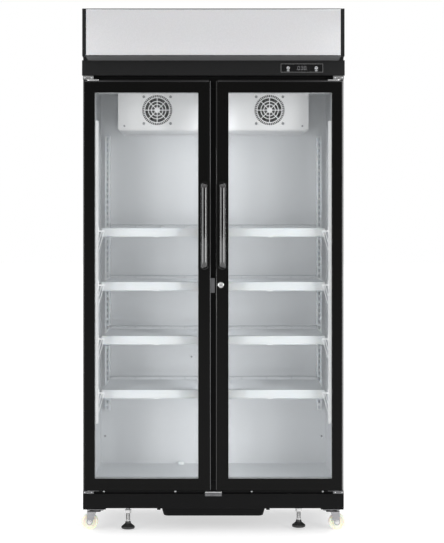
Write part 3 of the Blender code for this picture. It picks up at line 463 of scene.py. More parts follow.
def build_body():
    low, high = SHELL
    left, right = low.x + 0.0015, high.x - 0.0015
    for side, sign in SIDES.items():
        stands = ("outer_shell",) if side == "left" else ()
        folded_side(sign).done("side_panel_" + side, CABINET, slot="cabinet_black",
                               stands_for=stands)
    back = Shape().box((left, high.y - 0.0042, low.z), (right, high.y - 0.0030, DECK))
    back.done("back_panel", GALVANISED, slot="zinc_steel")
    build_stiffeners()
    deck = Shape().box((left, low.y, DECK - 0.001), (right, high.y - 0.004, DECK))
    for x in (left, right - 0.014):
        deck.box((x, low.y + 0.004, DECK), (x + 0.014, high.y - 0.006, DECK + 0.0010), 0.0004)
    deck.done("deck", GALVANISED, slot="zinc_steel")
    bottom = Shape().box((left, low.y + 0.002, low.z), (right, high.y - 0.004, low.z + 0.001))
    for x in (-0.24, 0.0, 0.24):
        bottom.box((x - 0.02, low.y + 0.03, low.z - 0.0002),
                   (x + 0.02, high.y - 0.03, low.z + 0.0008))
    bottom.done("bottom_panel", GALVANISED, slot="zinc_steel")
    rim = rectangle((left, low.z), (right, DECK))
    flange = Shape().picture_frame(rim, rectangle(*OPENING), low.y + 0.0001, low.y + 0.0021)
    flange.done("front_flange", CABINET, slot="cabinet_black")
    paint(CABINET, "base_frame", "plinth", "mullion", "rear_grille")
    paint(CANOPY, "canopy_housing", "fascia")
    paint(LINER, "liner")
    screws("flange_screws", [(x, low.y, 0.1546) for x in (-0.420, -0.146, 0.147, 0.420)],
           0.0042, 0.0022)
    grille_low, grille_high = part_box("rear_grille")
    fixings = Shape()
    for x in (-0.470, -0.236, 0.0, 0.236, 0.470):
        for z in (grille_low.z + 0.014, grille_high.z - 0.014):
            fixings.screw((x, grille_low.y - 0.0016, z), FORWARD, 0.004, 0.0014)
            fixings.lathe([(0, 0.0009), (0.0035, 0.0006), (0.0042, 0), (0, 0)],
                          (x, grille_high.y - 0.0009, z), BACK, 14)
    fixings.done("grille_fixings", SCREW)
    plate = Shape().box((-0.170, high.y - 0.0033, 1.42), (-0.080, high.y - 0.0023, 1.48), 0.0003)
    plate.done("blank_plate", TRIM)


def rounded_ring(half_x, half_y, radius, centre, z, steps=6):
    """Points of a rounded rectangle, level with the floor."""
    ring = []
    for quarter, (sx, sy) in enumerate(((1, 1), (-1, 1), (-1, -1), (1, -1))):
        for index in range(steps + 1):
            angle = math.pi / 2 * (quarter + index / steps)
            ring.append(Vector((centre.x + sx * (half_x - radius) + radius * math.cos(angle),
                                centre.y + sy * (half_y - radius) + radius * math.sin(angle), z)))
    return ring


def build_pan():
    """Pressed tray with rounded edges, hung in its runners by two folded tabs a side."""
    low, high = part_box("drain_pan")
    centre = (low + high) / 2
    depth = high.z - low.z
    sheet = 0.0012
    outside = ((0.0160, 0.0), (0.0115, 0.0008), (0.0085, 0.0035), (0.0072, 0.0080),
               (0.0020, 0.0270), (0.0012, depth))
    inside = ((0.0012, depth), (0.0020, 0.0270), (0.0085, 0.0050))
    rings = []
    for profile, wall, radius in ((outside, 0.0, 0.016), (inside, sheet, 0.015)):
        for inset, z in profile:
            rings.append(rounded_ring(0.2005 - wall - inset, (high.y - low.y) / 2 - wall - inset,
                                      radius, centre, low.z + z))
    pan = Shape().skin(rings)
    for sign in (-1, 1):
        for y in (low.y + 0.010, high.y - 0.040):
            root, bend, tip = (centre.x + sign * reach for reach in (0.1985, 0.2104, 0.2118))
            pan.box((root, y, high.z - 0.0020), (tip, y + 0.030, high.z), 0.0004)
            pan.box((bend, y, high.z - 0.0060), (tip, y + 0.030, high.z - 0.0002), 0.0004)
    pan.done("pan_tray", CABINET, "pan", "cabinet_black", ("drain_pan",))


def build_bracket():
    """Stop bracket in front of the plinth below the doors' middle; its body is steel darkened as
    painted shade, so its bright steel top flange reads as a lit top edge.
    """
    front, half, top = PLINTH[0].y, 0.032, 0.1560
    bracket = Shape().box((-half, front - 0.0030, 0.1390), (half, front - 0.0008, top - 0.0008),
                          0.0005)
    for x in (-0.020, 0.020):
        bracket.box((x - 0.006, front - 0.0040, 0.1425), (x + 0.006, front - 0.0028, 0.1470),
                    0.0005)
    bracket.done("stop_bracket", DARKENED_STEEL, slot="bright_steel")
    flange = Shape().box((-half, front - 0.0034, top - 0.0030), (half, SHELL[0].y - GAP, top),
                         0.0006)
    flange.done("stop_bracket_flange", BRIGHT, slot="bright_steel")
    screws("stop_bracket_screws", [(x, front - 0.0030, 0.1452) for x in (-0.008, 0.008)],
           0.0032, material=DARKENED_STEEL)


# ---- inside -------------------------------------------------------------------------------
def slotted_standard(low, high, inner, rows=48):
    """A folded channel with a row of slots in its face.

    inner is the direction that the face looks in: an X sign, or 0 for forwards.
    """
    sheet = 0.0016
    lip = 0.0085 if inner else 0.0070
    start, end = (low.y, high.y) if inner else (low.x, high.x)
    depth = (low.x, high.x) if inner else (low.y, high.y)
    face = (depth[1] - sheet, depth[1]) if inner > 0 else (depth[0], depth[0] + sheet)
    shape = Shape()

    def bar(a, b, where, z0=low.z, z1=high.z):
        corners = ((a, where[0], z0), (b, where[1], z1))
        shape.box(*((y, x, z) if inner else (x, y, z) for x, y, z in corners))

    bar(start, start + sheet, depth)
    bar(end - sheet, end, depth)
    bar(start + sheet, start + lip, face)
    bar(end - lip, end - sheet, face)
    pitch = (high.z - low.z) / rows
    bridge = pitch * 0.22
    for index in range(rows + 1):
        z = low.z + index * pitch
        bar(start + lip, end - lip, face, max(low.z, z - bridge), min(high.z, z + bridge))
    return shape


def build_standards():
    for side, sign in SIDES.items():
        # The front standards take the faintly glowing white, painted light; the rear ones are plain
        # white.
        for place, inner, finish in (("front", -sign, CHANNEL_PAINTED_GLOW), ("rear", 0, RAIL)):
            name = "pilaster_%s_%s" % (place, side)
            low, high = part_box(name)
            shape = slotted_standard(low, high, inner)
            if inner:
                wall = high.x if sign > 0 else low.x
                shape.box((wall, low.y - 0.010, low.z),
                          (wall - sign * 0.0012, high.y + 0.010, high.z), 0.0003)
            shape.done(name.replace("pilaster", "standard"), finish, slot="zinc_steel",
                       stands_for=(name,))


def build_shelf(side, level):
    """Wire shelf with a low rear stop, a price rail in front, and clips on the standards."""
    name = "shelf_%s_%d" % (side, level)
    low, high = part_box(name)
    frame_radius, wire_radius = 0.0029, 0.0016
    front, back, foot = low.y, low.y + 0.0035, low.z + 0.0036
    x0, x1 = low.x + frame_radius, high.x - frame_radius
    y0, y1 = back + frame_radius, high.y - frame_radius
    level_z = high.z - 2 * wire_radius - frame_radius
    stop_z = high.z + 0.012
    middle = (x0 + x1) / 2
    wires = Shape()
    corners = [(x0, y0, level_z), (x1, y0, level_z), (x1, y1, level_z), (x0, y1, level_z)]
    for start, end in zip(corners, corners[1:] + corners[:1]):
        wires.rod(start, end, frame_radius, 12)
    for x in (middle - 0.150, middle - 0.016, middle + 0.016, middle + 0.150):
        wires.rod((x, y0, level_z), (x, y1, level_z), frame_radius * 0.85, 10)
    count = 30
    for index in range(count):
        y = y0 + (y1 - y0) * (index + 0.3) / count
        wires.rod((x0, y, high.z - wire_radius), (x1, y, high.z - wire_radius), wire_radius, 6)
    wires.rod((x0, y1, stop_z), (x1, y1, stop_z), frame_radius * 0.8, 10)
    for index in range(5):
        x = x0 + 0.004 + (x1 - x0 - 0.008) * index / 4
        wires.rod((x, y1, level_z), (x, y1, stop_z), wire_radius, 6)
    wires.done("wire_" + name, WIRE, slot="zinc_steel", stands_for=(name,))
    rail = Shape().box((low.x, back - 0.0013, foot), (high.x, back, high.z - 0.0003))
    for z in (foot, high.z - 0.0033):
        rail.box((low.x, front, z), (high.x, back - 0.0013, z + 0.0030), 0.0005)
    rail.done("price_rail_%s_%d" % (side, level), RAIL)
    clip = Shape().box((middle - 0.010, front + 0.0010, foot - 0.0022),
                       (middle + 0.010, back + 0.003, foot - 0.0002), 0.0006)
    sign = SIDES[side]
    for y, thick, wall, reach in ((-0.150, 0.0016, 0.445, 0.4215),
                                  (0.2705, 0.0055, 0.428, 0.4120)):
        clip.box((sign * wall, y, level_z - 0.0085),
                 (sign * reach, y + thick, level_z - 0.0032), 0.0005)
        clip.box((sign * wall, y, level_z - 0.020),
                 (sign * (wall - 0.002), y + thick + 0.002, level_z + 0.010), 0.0005)
    for top_x, drop in ((0.4215, 0.078), (0.4320, 0.048)):
        clip.rod((sign * top_x, -0.1490, level_z - 0.0050),
                 (sign * 0.4435, -0.1490, level_z - drop), 0.0012, 8)
    # The clips are in the faintly glowing white, painted light.
    clip.done("shelf_clips_%s_%d" % (side, level), CHANNEL_PAINTED_GLOW, slot="zinc_steel")


def build_guard(side):
    """Moulded fan guard: rings, eight spokes and a rim of short ribs, over its duct and motor; the
    duct's front flange is a dark ring of painted shade under the ribs.
    """
    name = "fan_guard_" + side
    low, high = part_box(name)
    centre = (low + high) / 2
    thick = high.y - low.y
    guard = Shape()
    for inner, outer in ((0.0212, 0.0240), (0.0330, 0.0358), (0.0474, 0.0503)):
        guard.lathe([(inner, thick / 2), (outer, thick / 2), (outer, -thick / 2),
                     (inner, -thick / 2)], centre, FORWARD, 64, ring=True)
    place = facing(centre, FORWARD)
    for index in range(8):
        turn = place @ Matrix.Rotation(index * math.pi / 4, 4, "Z")
        guard.box((0.010, -0.0015, -thick * 0.4), (0.0490, 0.0015, thick * 0.46),
                  0.0004, 1, turn)
    for index in range(48):
        turn = place @ Matrix.Rotation((index + 0.5) * math.pi / 24, 4, "Z")
        guard.box((0.0495, -0.0012, -thick * 0.35), (0.0597, 0.0012, thick * 0.42), 0, 1, turn)
    guard.lathe([(0, 0.0022), (0.0070, 0.0020), (0.0107, 0.0008), (0.0110, -0.001), (0, -0.001)],
                centre, FORWARD, 32)
    guard.done("guard_" + side, COVER, slot="cover_white", stands_for=(name,))
    half = 0.0525               # half the pitch of a 120 mm fan's screws
    screws("guard_screws_" + side, [(centre.x + dx, COVER_BOX[0].y, centre.z + dz)
                                    for dx in (-half, half) for dz in (-half, half)],
           0.0056, 0.0024, material=WHITE_SCREW)
    # The duct's dark front flange lies under the guard's ribs as painted shade, darkening the gaps
    # between them.
    mouth = (centre.x, COVER_BOX[0].y + 0.0012, centre.z)
    duct = Shape().lathe([(0.0498, -0.0016), (0.0594, -0.0016), (0.0594, -0.0014),
                          (0.0562, -0.0013), (0.0562, 0.042), (0.0552, 0.042),
                          (0.0552, -0.0010), (0.0498, -0.0010)], mouth, BACK, 48, ring=True)
    duct.lathe([(0, 0.0385), (0.0551, 0.0385), (0.0551, 0.0405), (0, 0.0405)], mouth, BACK, 48)
    duct.done("fan_duct_and_shade_ring_" + side, DARK, slot="fan_black")
    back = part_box("fan_rotor_" + side)[1].y + 0.001
    motor = Shape().lathe([(0, 0), (0.024, 0), (0.027, 0.003), (0.027, 0.030), (0.022, 0.036),
                           (0, 0.036)], (centre.x, back, centre.z), BACK, 28)
    for index in range(4):
        arm = Matrix.Rotation(math.radians(45 + 90 * index), 4, "Z")
        motor.box((0.020, -0.003, -0.001), (0.0600, 0.003, 0.001), 0, 1,
                  facing((centre.x, back + 0.010, centre.z), BACK) @ arm)
    motor.done("fan_motor_" + side, PLASTIC, slot="fan_black")


def build_inside():
    build_standards()
    for side in SIDES:
        for level in range(1, 5):
            build_shelf(side, level)
        build_guard(side)
    paint(COVER, "evaporator_cover")
    paint(PLASTIC, "fan_rotor_left", "fan_rotor_right", "condenser_fan")
    paint(FINS, "evaporator_coil")
    paint(LAMP, "mullion_light")
    low, high = COVER_BOX
    screws("cover_screws", [(x, low.y, low.z + 0.014) for x in (-0.350, -0.050, 0.050, 0.350)],
           0.0038, 0.0018, material=WHITE_SCREW)
    lip = Shape().box((low.x + 0.004, low.y + 0.002, low.z - 0.0035),
                      (high.x - 0.004, high.y - 0.004, low.z - GAP), 0.0012)
    lip.done("drip_tray_lip", COVER, slot="cover_white")
    drain = Shape().lathe([(0, 0.0120), (0.0070, 0.0114), (0.0120, 0.0090), (0.0155, 0.0045),
                           (0.0165, 0.0012), (0.0165, 0), (0, 0)],
                          (-0.135, INSIDE_BACK - 0.022, INSIDE_FLOOR))
    drain.done("drain_cap", RAIL)
    screws("liner_screws", [(x, INSIDE_BACK, z)
                            for x, z in ((-0.091, 0.630), (-0.450, 0.300), (0.450, 0.300))],
           0.0042, 0.0020, material=WHITE_SCREW)
    low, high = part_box("mullion_light")
    holders = Shape()
    for z in (low.z + 0.06, (low.z + high.z) / 2, high.z - 0.06):
        holders.box((low.x - 0.004, low.y, z - 0.006), (high.x + 0.004, high.y + 0.0012, z + 0.006),
                    0.001)
    # The holders are in the faintly glowing white, painted light; the lamp itself is the lens
    # beside them.
    holders.done("lamp_holders", CHANNEL_PAINTED_GLOW, slot="lamp_white")
    coving = Shape()
    swap = Matrix(((1, 0, 0, 0), (0, 0, 1, 0), (0, 1, 0, 0), (0, 0, 0, 1)))
    for sign in SIDES.values():
        wall, toe = (sign * (LINER_BOX[1].x - inset) for inset in (0.0012, 0.0060))
        outline = [(wall, INSIDE_FLOOR), (toe, INSIDE_FLOOR), (wall, INSIDE_FLOOR + 0.0048)]
        coving.prism(outline, LINER_BOX[0].y + 0.01, INSIDE_BACK - 0.001, swap)
    coving.done("floor_coving", LINER, slot="liner_white")


# ---- doors --------------------------------------------------------------------------------
def build_mitres(body, low, high, sight):
    """Fine dark seams where the frame's rails and stiles meet."""
    seams = Shape()
    for corner_x, inner_x in ((low.x, sight[0][0]), (high.x, sight[1][0])):
        for corner_z, inner_z in ((low.z, sight[0][1]), (high.z, sight[1][1])):
            corner = Vector((corner_x, 0, corner_z))
            inner = Vector((inner_x, 0, inner_z))
            start, end = corner.lerp(inner, 0.10), corner.lerp(inner, 0.98)
            along = (end - start).normalized()
            across = Vector((-along.z, 0, along.x)) * 0.00014
            outline = [start + across, end + across, end - across, start - across]
            seams.skin([[point + Vector((0, DOOR_FACE + shift, 0)) for point in outline]
                        for shift in (-0.00006, 0.0010)])
    seams.done(body + "_mitres", DARK, body)


def build_door(side, sign):
    body = "door_" + side
    low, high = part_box(body + "_frame")
    glass_low, glass_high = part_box(body + "_glass")
    sight = ((glass_low.x + GLASS_GRIP, glass_low.z + GLASS_GRIP),
             (glass_high.x - GLASS_GRIP, glass_high.z - GLASS_GRIP))
    paint(FRAME, body + "_frame")
    paint(RUBBER, body + "_gasket")
    pane, edge = 0.0038, 0.001
    panes = Shape()
    for front in (glass_low.y, glass_high.y - pane):
        panes.box((glass_low.x + edge, front, glass_low.z + edge),
                  (glass_high.x - edge, front + pane, glass_high.z - edge))
    panes.done(body + "_panes", GLASS, body, "unit_glass", (body + "_glass",))
    spacer = Shape().picture_frame(rectangle(*sight, 0.0055), rectangle(*sight, -0.0012),
                                   glass_low.y + pane + 0.0001, glass_high.y - pane - 0.0001)
    spacer.done(body + "_spacer", SPACER, body)
    bead = Shape().picture_frame(rectangle(*sight, 0.0012), rectangle(*sight, -0.0001),
                                 DOOR_FACE + 0.0030, glass_low.y - 0.0001, -0.0018)
    bead.done(body + "_bead", RUBBER, body, "seal_black")
    build_mitres(body, low, high, sight)
    proud, sunk = DOOR_FACE - 0.0004, DOOR_FACE + 0.0006
    outer, inner = (low.x, high.x) if sign < 0 else (high.x, low.x)
    # On the left door the inner edge strip is grey, a painted highlight of the lit edge; on the
    # right door it is gloss black.
    trim = Shape().box((inner - sign * 0.0001, proud, low.z + 0.004),
                       (inner + sign * 0.0017, sunk, high.z - 0.004), 0.0003)
    trim.done(body + "_inner_edge_strip", KEY if sign < 0 else HANDLE, body)
    # The outer edge strips are painted highlights for the light a rounded edge catches: dim grey on
    # the left door, lighter grey on the right.
    width = 0.0042 if sign < 0 else 0.0060
    rim = Shape().box((outer - sign * 0.0003, proud, low.z + 0.003),
                      (outer - sign * width, sunk, high.z - 0.003), 0.0003)
    rim.done(body + "_outer_edge_painted_highlight", EDGE_HIGHLIGHT_DIM if sign < 0 else BEZEL_GREY_AND_EDGE_HIGHLIGHT, body)
    # A strip of slightly lighter black along each door's top edge is a painted highlight.
    lip = Shape().box((low.x + 0.006, DOOR_FACE - 0.0003, high.z - 0.0078),
                      (high.x - 0.006, sunk, high.z - 0.0006), 0.0003)
    lip.done(body + "_top_lip", CANOPY, body)
    build_handle(side, body)
    build_hinges(side, sign, body, low.z, high.z)


def build_hinges(side, sign, body, bottom, top):
    """Thin plates on the door, and the finish and screws of the hinge blocks."""
    root, tip = sign * 0.436, sign * 0.4785
    # The top hinges are bright steel; the bottom ones, under the doors, take the darkened steel as
    # painted shade.
    for place, finish, z in (("top", BRIGHT, top + 0.0001), ("bottom", DARKENED_STEEL, bottom - 0.0014)):
        block = "hinge_%s_%s" % (place, side)
        low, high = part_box(block)
        plate = Shape().box((root, DOOR_FACE + 0.001, z), (tip, DOOR_FACE + 0.034, z + 0.0013),
                            0.0003)
        screw_z, radius = low.z + 0.005, 0.0026
        if place == "top":
            plate.box((root, DOOR_FACE - 0.0010, z - 0.0026),
                      (tip, DOOR_FACE + 0.0012, z + 0.0013), 0.0004)
            screw_z, radius = high.z - 0.007, 0.0032
        plate.done("%s_hinge_plate_%s" % (body, place), finish, body, "bright_steel")
        paint(finish, block)
        screws("hinge_screws_%s_%s" % (place, side),
               [(sign * x, low.y, screw_z) for x in (0.4640, 0.4900)], radius)


def build_handle(side, body):
    """Oval bow handle with a collar at each foot."""
    name = body + "_handle"
    low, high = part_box(name)
    x = (low.x + high.x) / 2
    radius = 0.009
    wide = (high.x - low.x) / 2 / radius
    root, out = DOOR_FACE + 0.0006, low.y + radius
    z0, z1 = low.z + radius, high.z - radius
    path = rounded_path([(x, root, z0), (x, out, z0), (x, out, z1), (x, root, z1)], 0.0195, 10)
    handle = Shape().tube(path, radius, 36, wide)
    for z in (z0, z1):
        handle.skin([[Vector((x + px * size, DOOR_FACE + depth, z + pz * size))
                      for px, pz in circle(radius, 36, wide)]
                     for size, depth in ((1.20, 0.0004), (1.20, -0.0012), (1.12, -0.0024),
                                         (0.9, -0.0026))])
    handle.done("bow_handle_" + side, HANDLE, body, "handle_black", (name,), 45.0)


def build_lock():
    low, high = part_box("lock_plug")
    x = (low.x + high.x) / 2
    z = high.z - (high.x - low.x) / 2
    paint(BRIGHT, "lock_plug")
    paint(DARKENED_STEEL, "lock_strike")
    ring = Shape().lathe([(0.0098, 0.0), (0.0098, 0.0026), (0.0101, 0.0030), (0.0107, 0.0028),
                          (0.0113, 0.0010), (0.0113, 0.0)], (x, DOOR_FACE, z), FORWARD, 48,
                         ring=True)
    ring.done("lock_escutcheon", BRIGHT, "door_right", "bright_steel")
    face = Shape().lathe([(0, 0.0003), (0.0030, 0.0003), (0.0034, 0), (0, 0)], (x, low.y, z),
                         FORWARD)
    face.done("lock_keyway_face", DARK, "lock")
    slot = Shape().box((x - 0.0010, low.y - 0.0006, z - 0.0036), (x + 0.0010, low.y, z + 0.0036),
                       0.0003)
    slot.done("lock_keyway", SCREW, "lock")


# ---- canopy and controls ------------------------------------------------------------------
def build_sign():
    low, high = SIGN_BOX
    panel = Shape().box((low.x, low.y + 0.0007, low.z), (high.x, high.y, high.z), 0.0005)
    panel.done("sign_face", SIGN, slot="sign_white", stands_for=("sign_panel",))
    trims = Shape()
    for z0, z1 in ((low.z - 0.0020, low.z + 0.0016), (high.z - 0.0020, high.z + 0.0006)):
        trims.box((low.x, low.y, z0), (high.x, low.y + 0.0012, z1), 0.0005)
    trims.done("sign_trims", TRIM)
    paint(TUBE, "sign_tube")
    canopy_low, canopy_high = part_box("canopy_housing")
    caps, brackets = Shape(), Shape()
    back = canopy_high.y
    for sign in SIDES.values():
        for y in (canopy_low.y + 0.030, back - 0.030):
            for z in (1.850, 1.950):
                caps.screw((sign * canopy_high.x, y, z), (sign, 0, 0), 0.0040, 0.0018)
        near, far = sign * 0.300, sign * 0.330
        brackets.box((near, back - 0.0002, 1.800), (far, back + 0.0022, 1.955), 0.0005)
        brackets.box((near, back, DECK + 0.0001), (far, back + 0.030, DECK + 0.0024), 0.0005)
        brackets.box((near, back, DECK + 0.0001), (far, back + 0.0022, 1.805), 0.0005)
    caps.done("canopy_screws", SCREW)
    brackets.done("canopy_brackets", ZINC, slot="zinc_steel")
    edge = (FASCIA[0].y + 0.0006, FASCIA[0].z + 0.0012)
    lip = Shape().rod((FASCIA[0].x, *edge), (FASCIA[1].x, *edge), 0.0014, 14)
    lip.done("fascia_lip", CANOPY, slot="cabinet_black")
    # The valance under the canopy takes the grey of painted floor light.
    front_y, back_y, front_z, back_z = low.y + 0.004, FASCIA[0].y, 1.8088, 1.8033
    section = [(front_y, front_z), (back_y, back_z), (back_y, back_z + 0.0010),
               (front_y, front_z + 0.0010)]
    valance = Shape().skin([[Vector((x, y, z)) for y, z in section] for x in (low.x, -low.x)])
    valance.done("valance", VALANCE_PAINTED_FLOOR_LIGHT)


SEGMENTS = {"0": "abcdef", "3": "abcdg", "8": "abcdefg"}


def digit(shape, text, x, y, z, width, height):
    """A seven-segment numeral."""
    bar, half, side = width * 0.17, height / 2, width / 2
    spots = {"a": (x, z + half), "g": (x, z), "d": (x, z - half),
             "f": (x - side, z + half / 2), "b": (x + side, z + half / 2),
             "e": (x - side, z - half / 2), "c": (x + side, z - half / 2)}
    for key in SEGMENTS[text]:
        cx, cz = spots[key]
        size = (side - bar * 0.7, bar / 2) if key in "agd" else (bar / 2, half / 2 - bar * 0.7)
        shape.box((cx - size[0], y - 0.0003, cz - size[1]),
                  (cx + size[0], y + 0.0002, cz + size[1]))


def build_display():
    low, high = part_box("display")
    paint(DISPLAY, "display")
    corners = ((low.x, low.z), (high.x, high.z))
    bezel = Shape().picture_frame(rectangle(*corners, -0.0008), rectangle(*corners, -0.0021),
                                  low.y - 0.0005, low.y + 0.0010)
    bezel.done("display_bezel", BEZEL_GREY_AND_EDGE_HIGHLIGHT)
    middle_x, middle_z = (low.x + high.x) / 2, (low.z + high.z) / 2
    window = Shape().box((middle_x - 0.0205, low.y - 0.0004, middle_z - 0.0090),
                         (middle_x + 0.0205, low.y + 0.0003, middle_z + 0.0090), 0.0002)
    window.done("display_window", DISPLAY)
    digits = Shape()
    for index, text in enumerate("038"):
        digit(digits, text, middle_x + (index - 1) * 0.0122, low.y - 0.0005, middle_z,
              0.0076, 0.0130)
    digits.done("display_digits", READOUT)
    for number, up in ((1, 1), (2, -1)):
        name = "button_%d" % number
        body = "key_%d" % number
        key_low, key_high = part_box(name)
        paint(KEY, name)
        x, z = (key_low.x + key_high.x) / 2, (key_low.z + key_high.z) / 2
        arrow = [(-0.0034, -0.0022 * up), (0.0034, -0.0022 * up), (0.0, 0.0034 * up)]
        mark = Shape().prism(arrow, 0.0003, 0.0007, facing((x, key_low.y, z), FORWARD))
        mark.done(name + "_mark", DARK, body)
        disc = Shape().lathe([(0, 0.0004), (0.0050, 0.0004), (0.0054, 0), (0, 0)],
                             (x, key_low.y, z), FORWARD)
        disc.done(name + "_disc", ICON, body)
        bar = Shape().box((x - 0.0050, low.y - 0.0003, z - 0.0118),
                          (x + 0.0050, low.y + 0.0003, z - 0.0096))
        bar.done(name + "_bar", ICON)


# ---- feet and casters ---------------------------------------------------------------------
def build_foot(side):
    low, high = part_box("foot_" + side)
    centre = ((low.x + high.x) / 2, (low.y + high.y) / 2, low.z)
    body = "foot_" + side[0]
    radius = (high.x - low.x) / 2
    pad = Shape().lathe([(0, 0.0285), (0.0088, 0.0285), (0.0102, 0.0275), (0.0112, 0.0230),
                         (0.0130, 0.0195), (0.0175, 0.0160), (radius - 0.0030, 0.0118),
                         (radius, 0.0090), (radius, 0.0035), (radius - 0.0020, 0.0010),
                         (radius - 0.0050, 0), (0.012, 0), (0.010, 0.0015), (0, 0.0015)],
                        centre, UP, 48)
    pad.done("foot_pad_" + side, PLASTIC, body, "foot_black", ("foot_" + side,))
    turns, top, bottom = 44, 0.1010, 0.0290
    pitch = (top - bottom) / turns
    profile = [(0, 0.1020), (0.0066, 0.1020)]
    for index in range(turns):
        z = top - pitch * index
        profile += [(0.0080, z), (0.0070, z - pitch / 2)]
    profile += [(0.0078, 0.0280), (0, 0.0280)]
    stem = Shape().lathe(profile, centre, UP, 20)
    stem.done("foot_stem_" + side, BRIGHT, body, "bright_steel")
    x, y, z = centre
    nut = Shape().hexagon((x, y, z + 0.0600), UP, 0.0225, 0.0120)
    nut.lathe([(0.0078, 0.0720), (0.0135, 0.0720), (0.0135, 0.0735), (0.0078, 0.0735)],
              centre, UP, 28, ring=True)
    nut.hexagon((x, y, z + 0.0290), UP, 0.0150, 0.0070)
    nut.done("foot_nut_" + side, BRIGHT, body, "bright_steel")


def build_caster(place, side, trail):
    """Swivel caster.  trail is the X, Y direction from the swivel axis to the wheel."""
    name = "caster_%s_%s" % (place, side)
    swivel = name + "_swivel"
    low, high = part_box(name + "_wheel")
    fork_low, fork_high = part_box(name + "_fork")
    centre = (low + high) / 2
    radius = (high.z - low.z) / 2
    along = Vector((0, 1, 0) if trail[0] else (1, 0, 0))
    half = (high - low) @ along / 2
    reach = (fork_high - fork_low) @ along / 2
    profile = [(0.0048, half), (0.0105, half), (0.0125, half - 0.0012), (0.0132, half - 0.0040),
               (0.0165, half - 0.0052), (radius - 0.0085, half - 0.0046),
               (radius - 0.0060, half - 0.0018), (radius - 0.0022, half - 0.0022),
               (radius - 0.0005, half - 0.0052), (radius, half * 0.42)]
    profile += [(r, -h) for r, h in reversed(profile)]
    wheel = Shape().lathe(profile, centre, along, 72, ring=True)
    wheel.done(name + "_tyre", NYLON, name + "_wheel", "caster_nylon", (name + "_wheel",), 28.0)
    axle = Shape()
    for direction in (-along, along):
        start = centre + direction * reach
        axle.lathe([(0.0038, 0), (0.0085, 0), (0.0085, 0.0010), (0.0038, 0.0010)], start,
                   direction, 28, ring=True)
        axle.hexagon(start + direction * 0.0010, direction, 0.0110, 0.0042)
    axle.done(name + "_axle_nuts", BRIGHT, swivel, "bright_steel")
    offset, top = 0.023, fork_high.z
    post = Vector((centre.x - trail[0] * offset, centre.y - trail[1] * offset, 0))
    # The swivel race under the plinth is in the darkened steel as painted shade; the legs are zinc
    # plate.
    race = Shape().lathe([(0, top), (0.0205, top), (0.0215, top - 0.0010), (0.0215, top - 0.0042),
                          (0.0180, top - 0.0080), (0, top - 0.0080)], post, UP, 40)
    crown = top - 0.0081
    turn = Matrix((Vector((*trail, 0)), along, UP)).transposed().to_4x4()
    local = Matrix.Translation(post) @ turn
    race.box((-0.0190, -reach, crown - 0.0026), (0.0330, reach, crown), 0.0008, 2, local)
    race.done(name + "_race", DARKENED_STEEL, swivel, "bright_steel")
    end, sheet = 0.0115, 0.0022
    outline = [(-0.0020, crown - 0.0028), (0.0325, crown - 0.0028)]
    for step in range(13):
        angle = -math.pi * step / 12
        outline.append((offset + end * math.cos(angle), radius + end * math.sin(angle)))
    legs = Shape()
    for start in (-reach, reach - sheet):
        legs.skin([[local @ Vector((u, shift, z)) for u, z in outline]
                   for shift in (start, start + sheet)])
    legs.done(name + "_legs", ZINC, swivel, "bright_steel", (name + "_fork",))
    plate = Shape().box((post.x - 0.0330, post.y - 0.0390, top + 0.0008),
                        (post.x + 0.0330, post.y + 0.0390, top + 0.0034), 0.0006)
    for dx in (-0.0255, 0.0255):
        for dy in (-0.0310, 0.0310):
            plate.hexagon((post.x + dx, post.y + dy, top + 0.0010), DOWN, 0.0100, 0.0042)
    plate.done(name + "_plate", ZINC, slot="zinc_steel")


# ---- cooling unit on the deck -------------------------------------------------------------
def build_compressor():
    low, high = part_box("compressor")
    x, y = (low.x + high.x) / 2, 0.080
    pot = Shape().lathe([(0, 0.178), (0.020, 0.1775), (0.040, 0.1745), (0.058, 0.1665),
                         (0.070, 0.1560), (0.0780, 0.1420), (0.0815, 0.1260), (0.0825, 0.1080),
                         (0.0850, 0.1055), (0.0850, 0.0990), (0.0825, 0.0965), (0.0820, 0.0620),
                         (0.0790, 0.0420), (0.0700, 0.0280), (0.0560, 0.0190), (0, 0.0160)],
                        (x, y, DECK), UP, 64)
    pot.box((x - 0.105, y - 0.060, DECK + 0.0140), (x + 0.105, y + 0.060, DECK + 0.0165), 0.0008)
    pot.box((x + 0.070, y - 0.034, DECK + 0.050), (x + 0.102, y + 0.034, DECK + 0.118), 0.004, 3)
    pot.done("compressor_pot", CABINET, slot="cabinet_black", stands_for=("compressor",))
    mounts, bolts = Shape(), Shape()
    for foot_x in (x - 0.090, x + 0.090):
        for foot_y in (y - 0.046, y + 0.046):
            mounts.lathe([(0.004, 0.0005), (0.0115, 0.0005), (0.0115, 0.0060), (0.0085, 0.0075),
                          (0.0085, 0.0105), (0.0115, 0.0125), (0.0115, 0.0200), (0.004, 0.0200)],
                         (foot_x, foot_y, DECK), UP, 24, ring=True)
            bolts.hexagon((foot_x, foot_y, DECK + 0.0200), UP, 0.0100, 0.0055)
    mounts.done("compressor_mounts", RUBBER)
    bolts.done("compressor_bolts", SCREW)
    build_pipes(x, y)


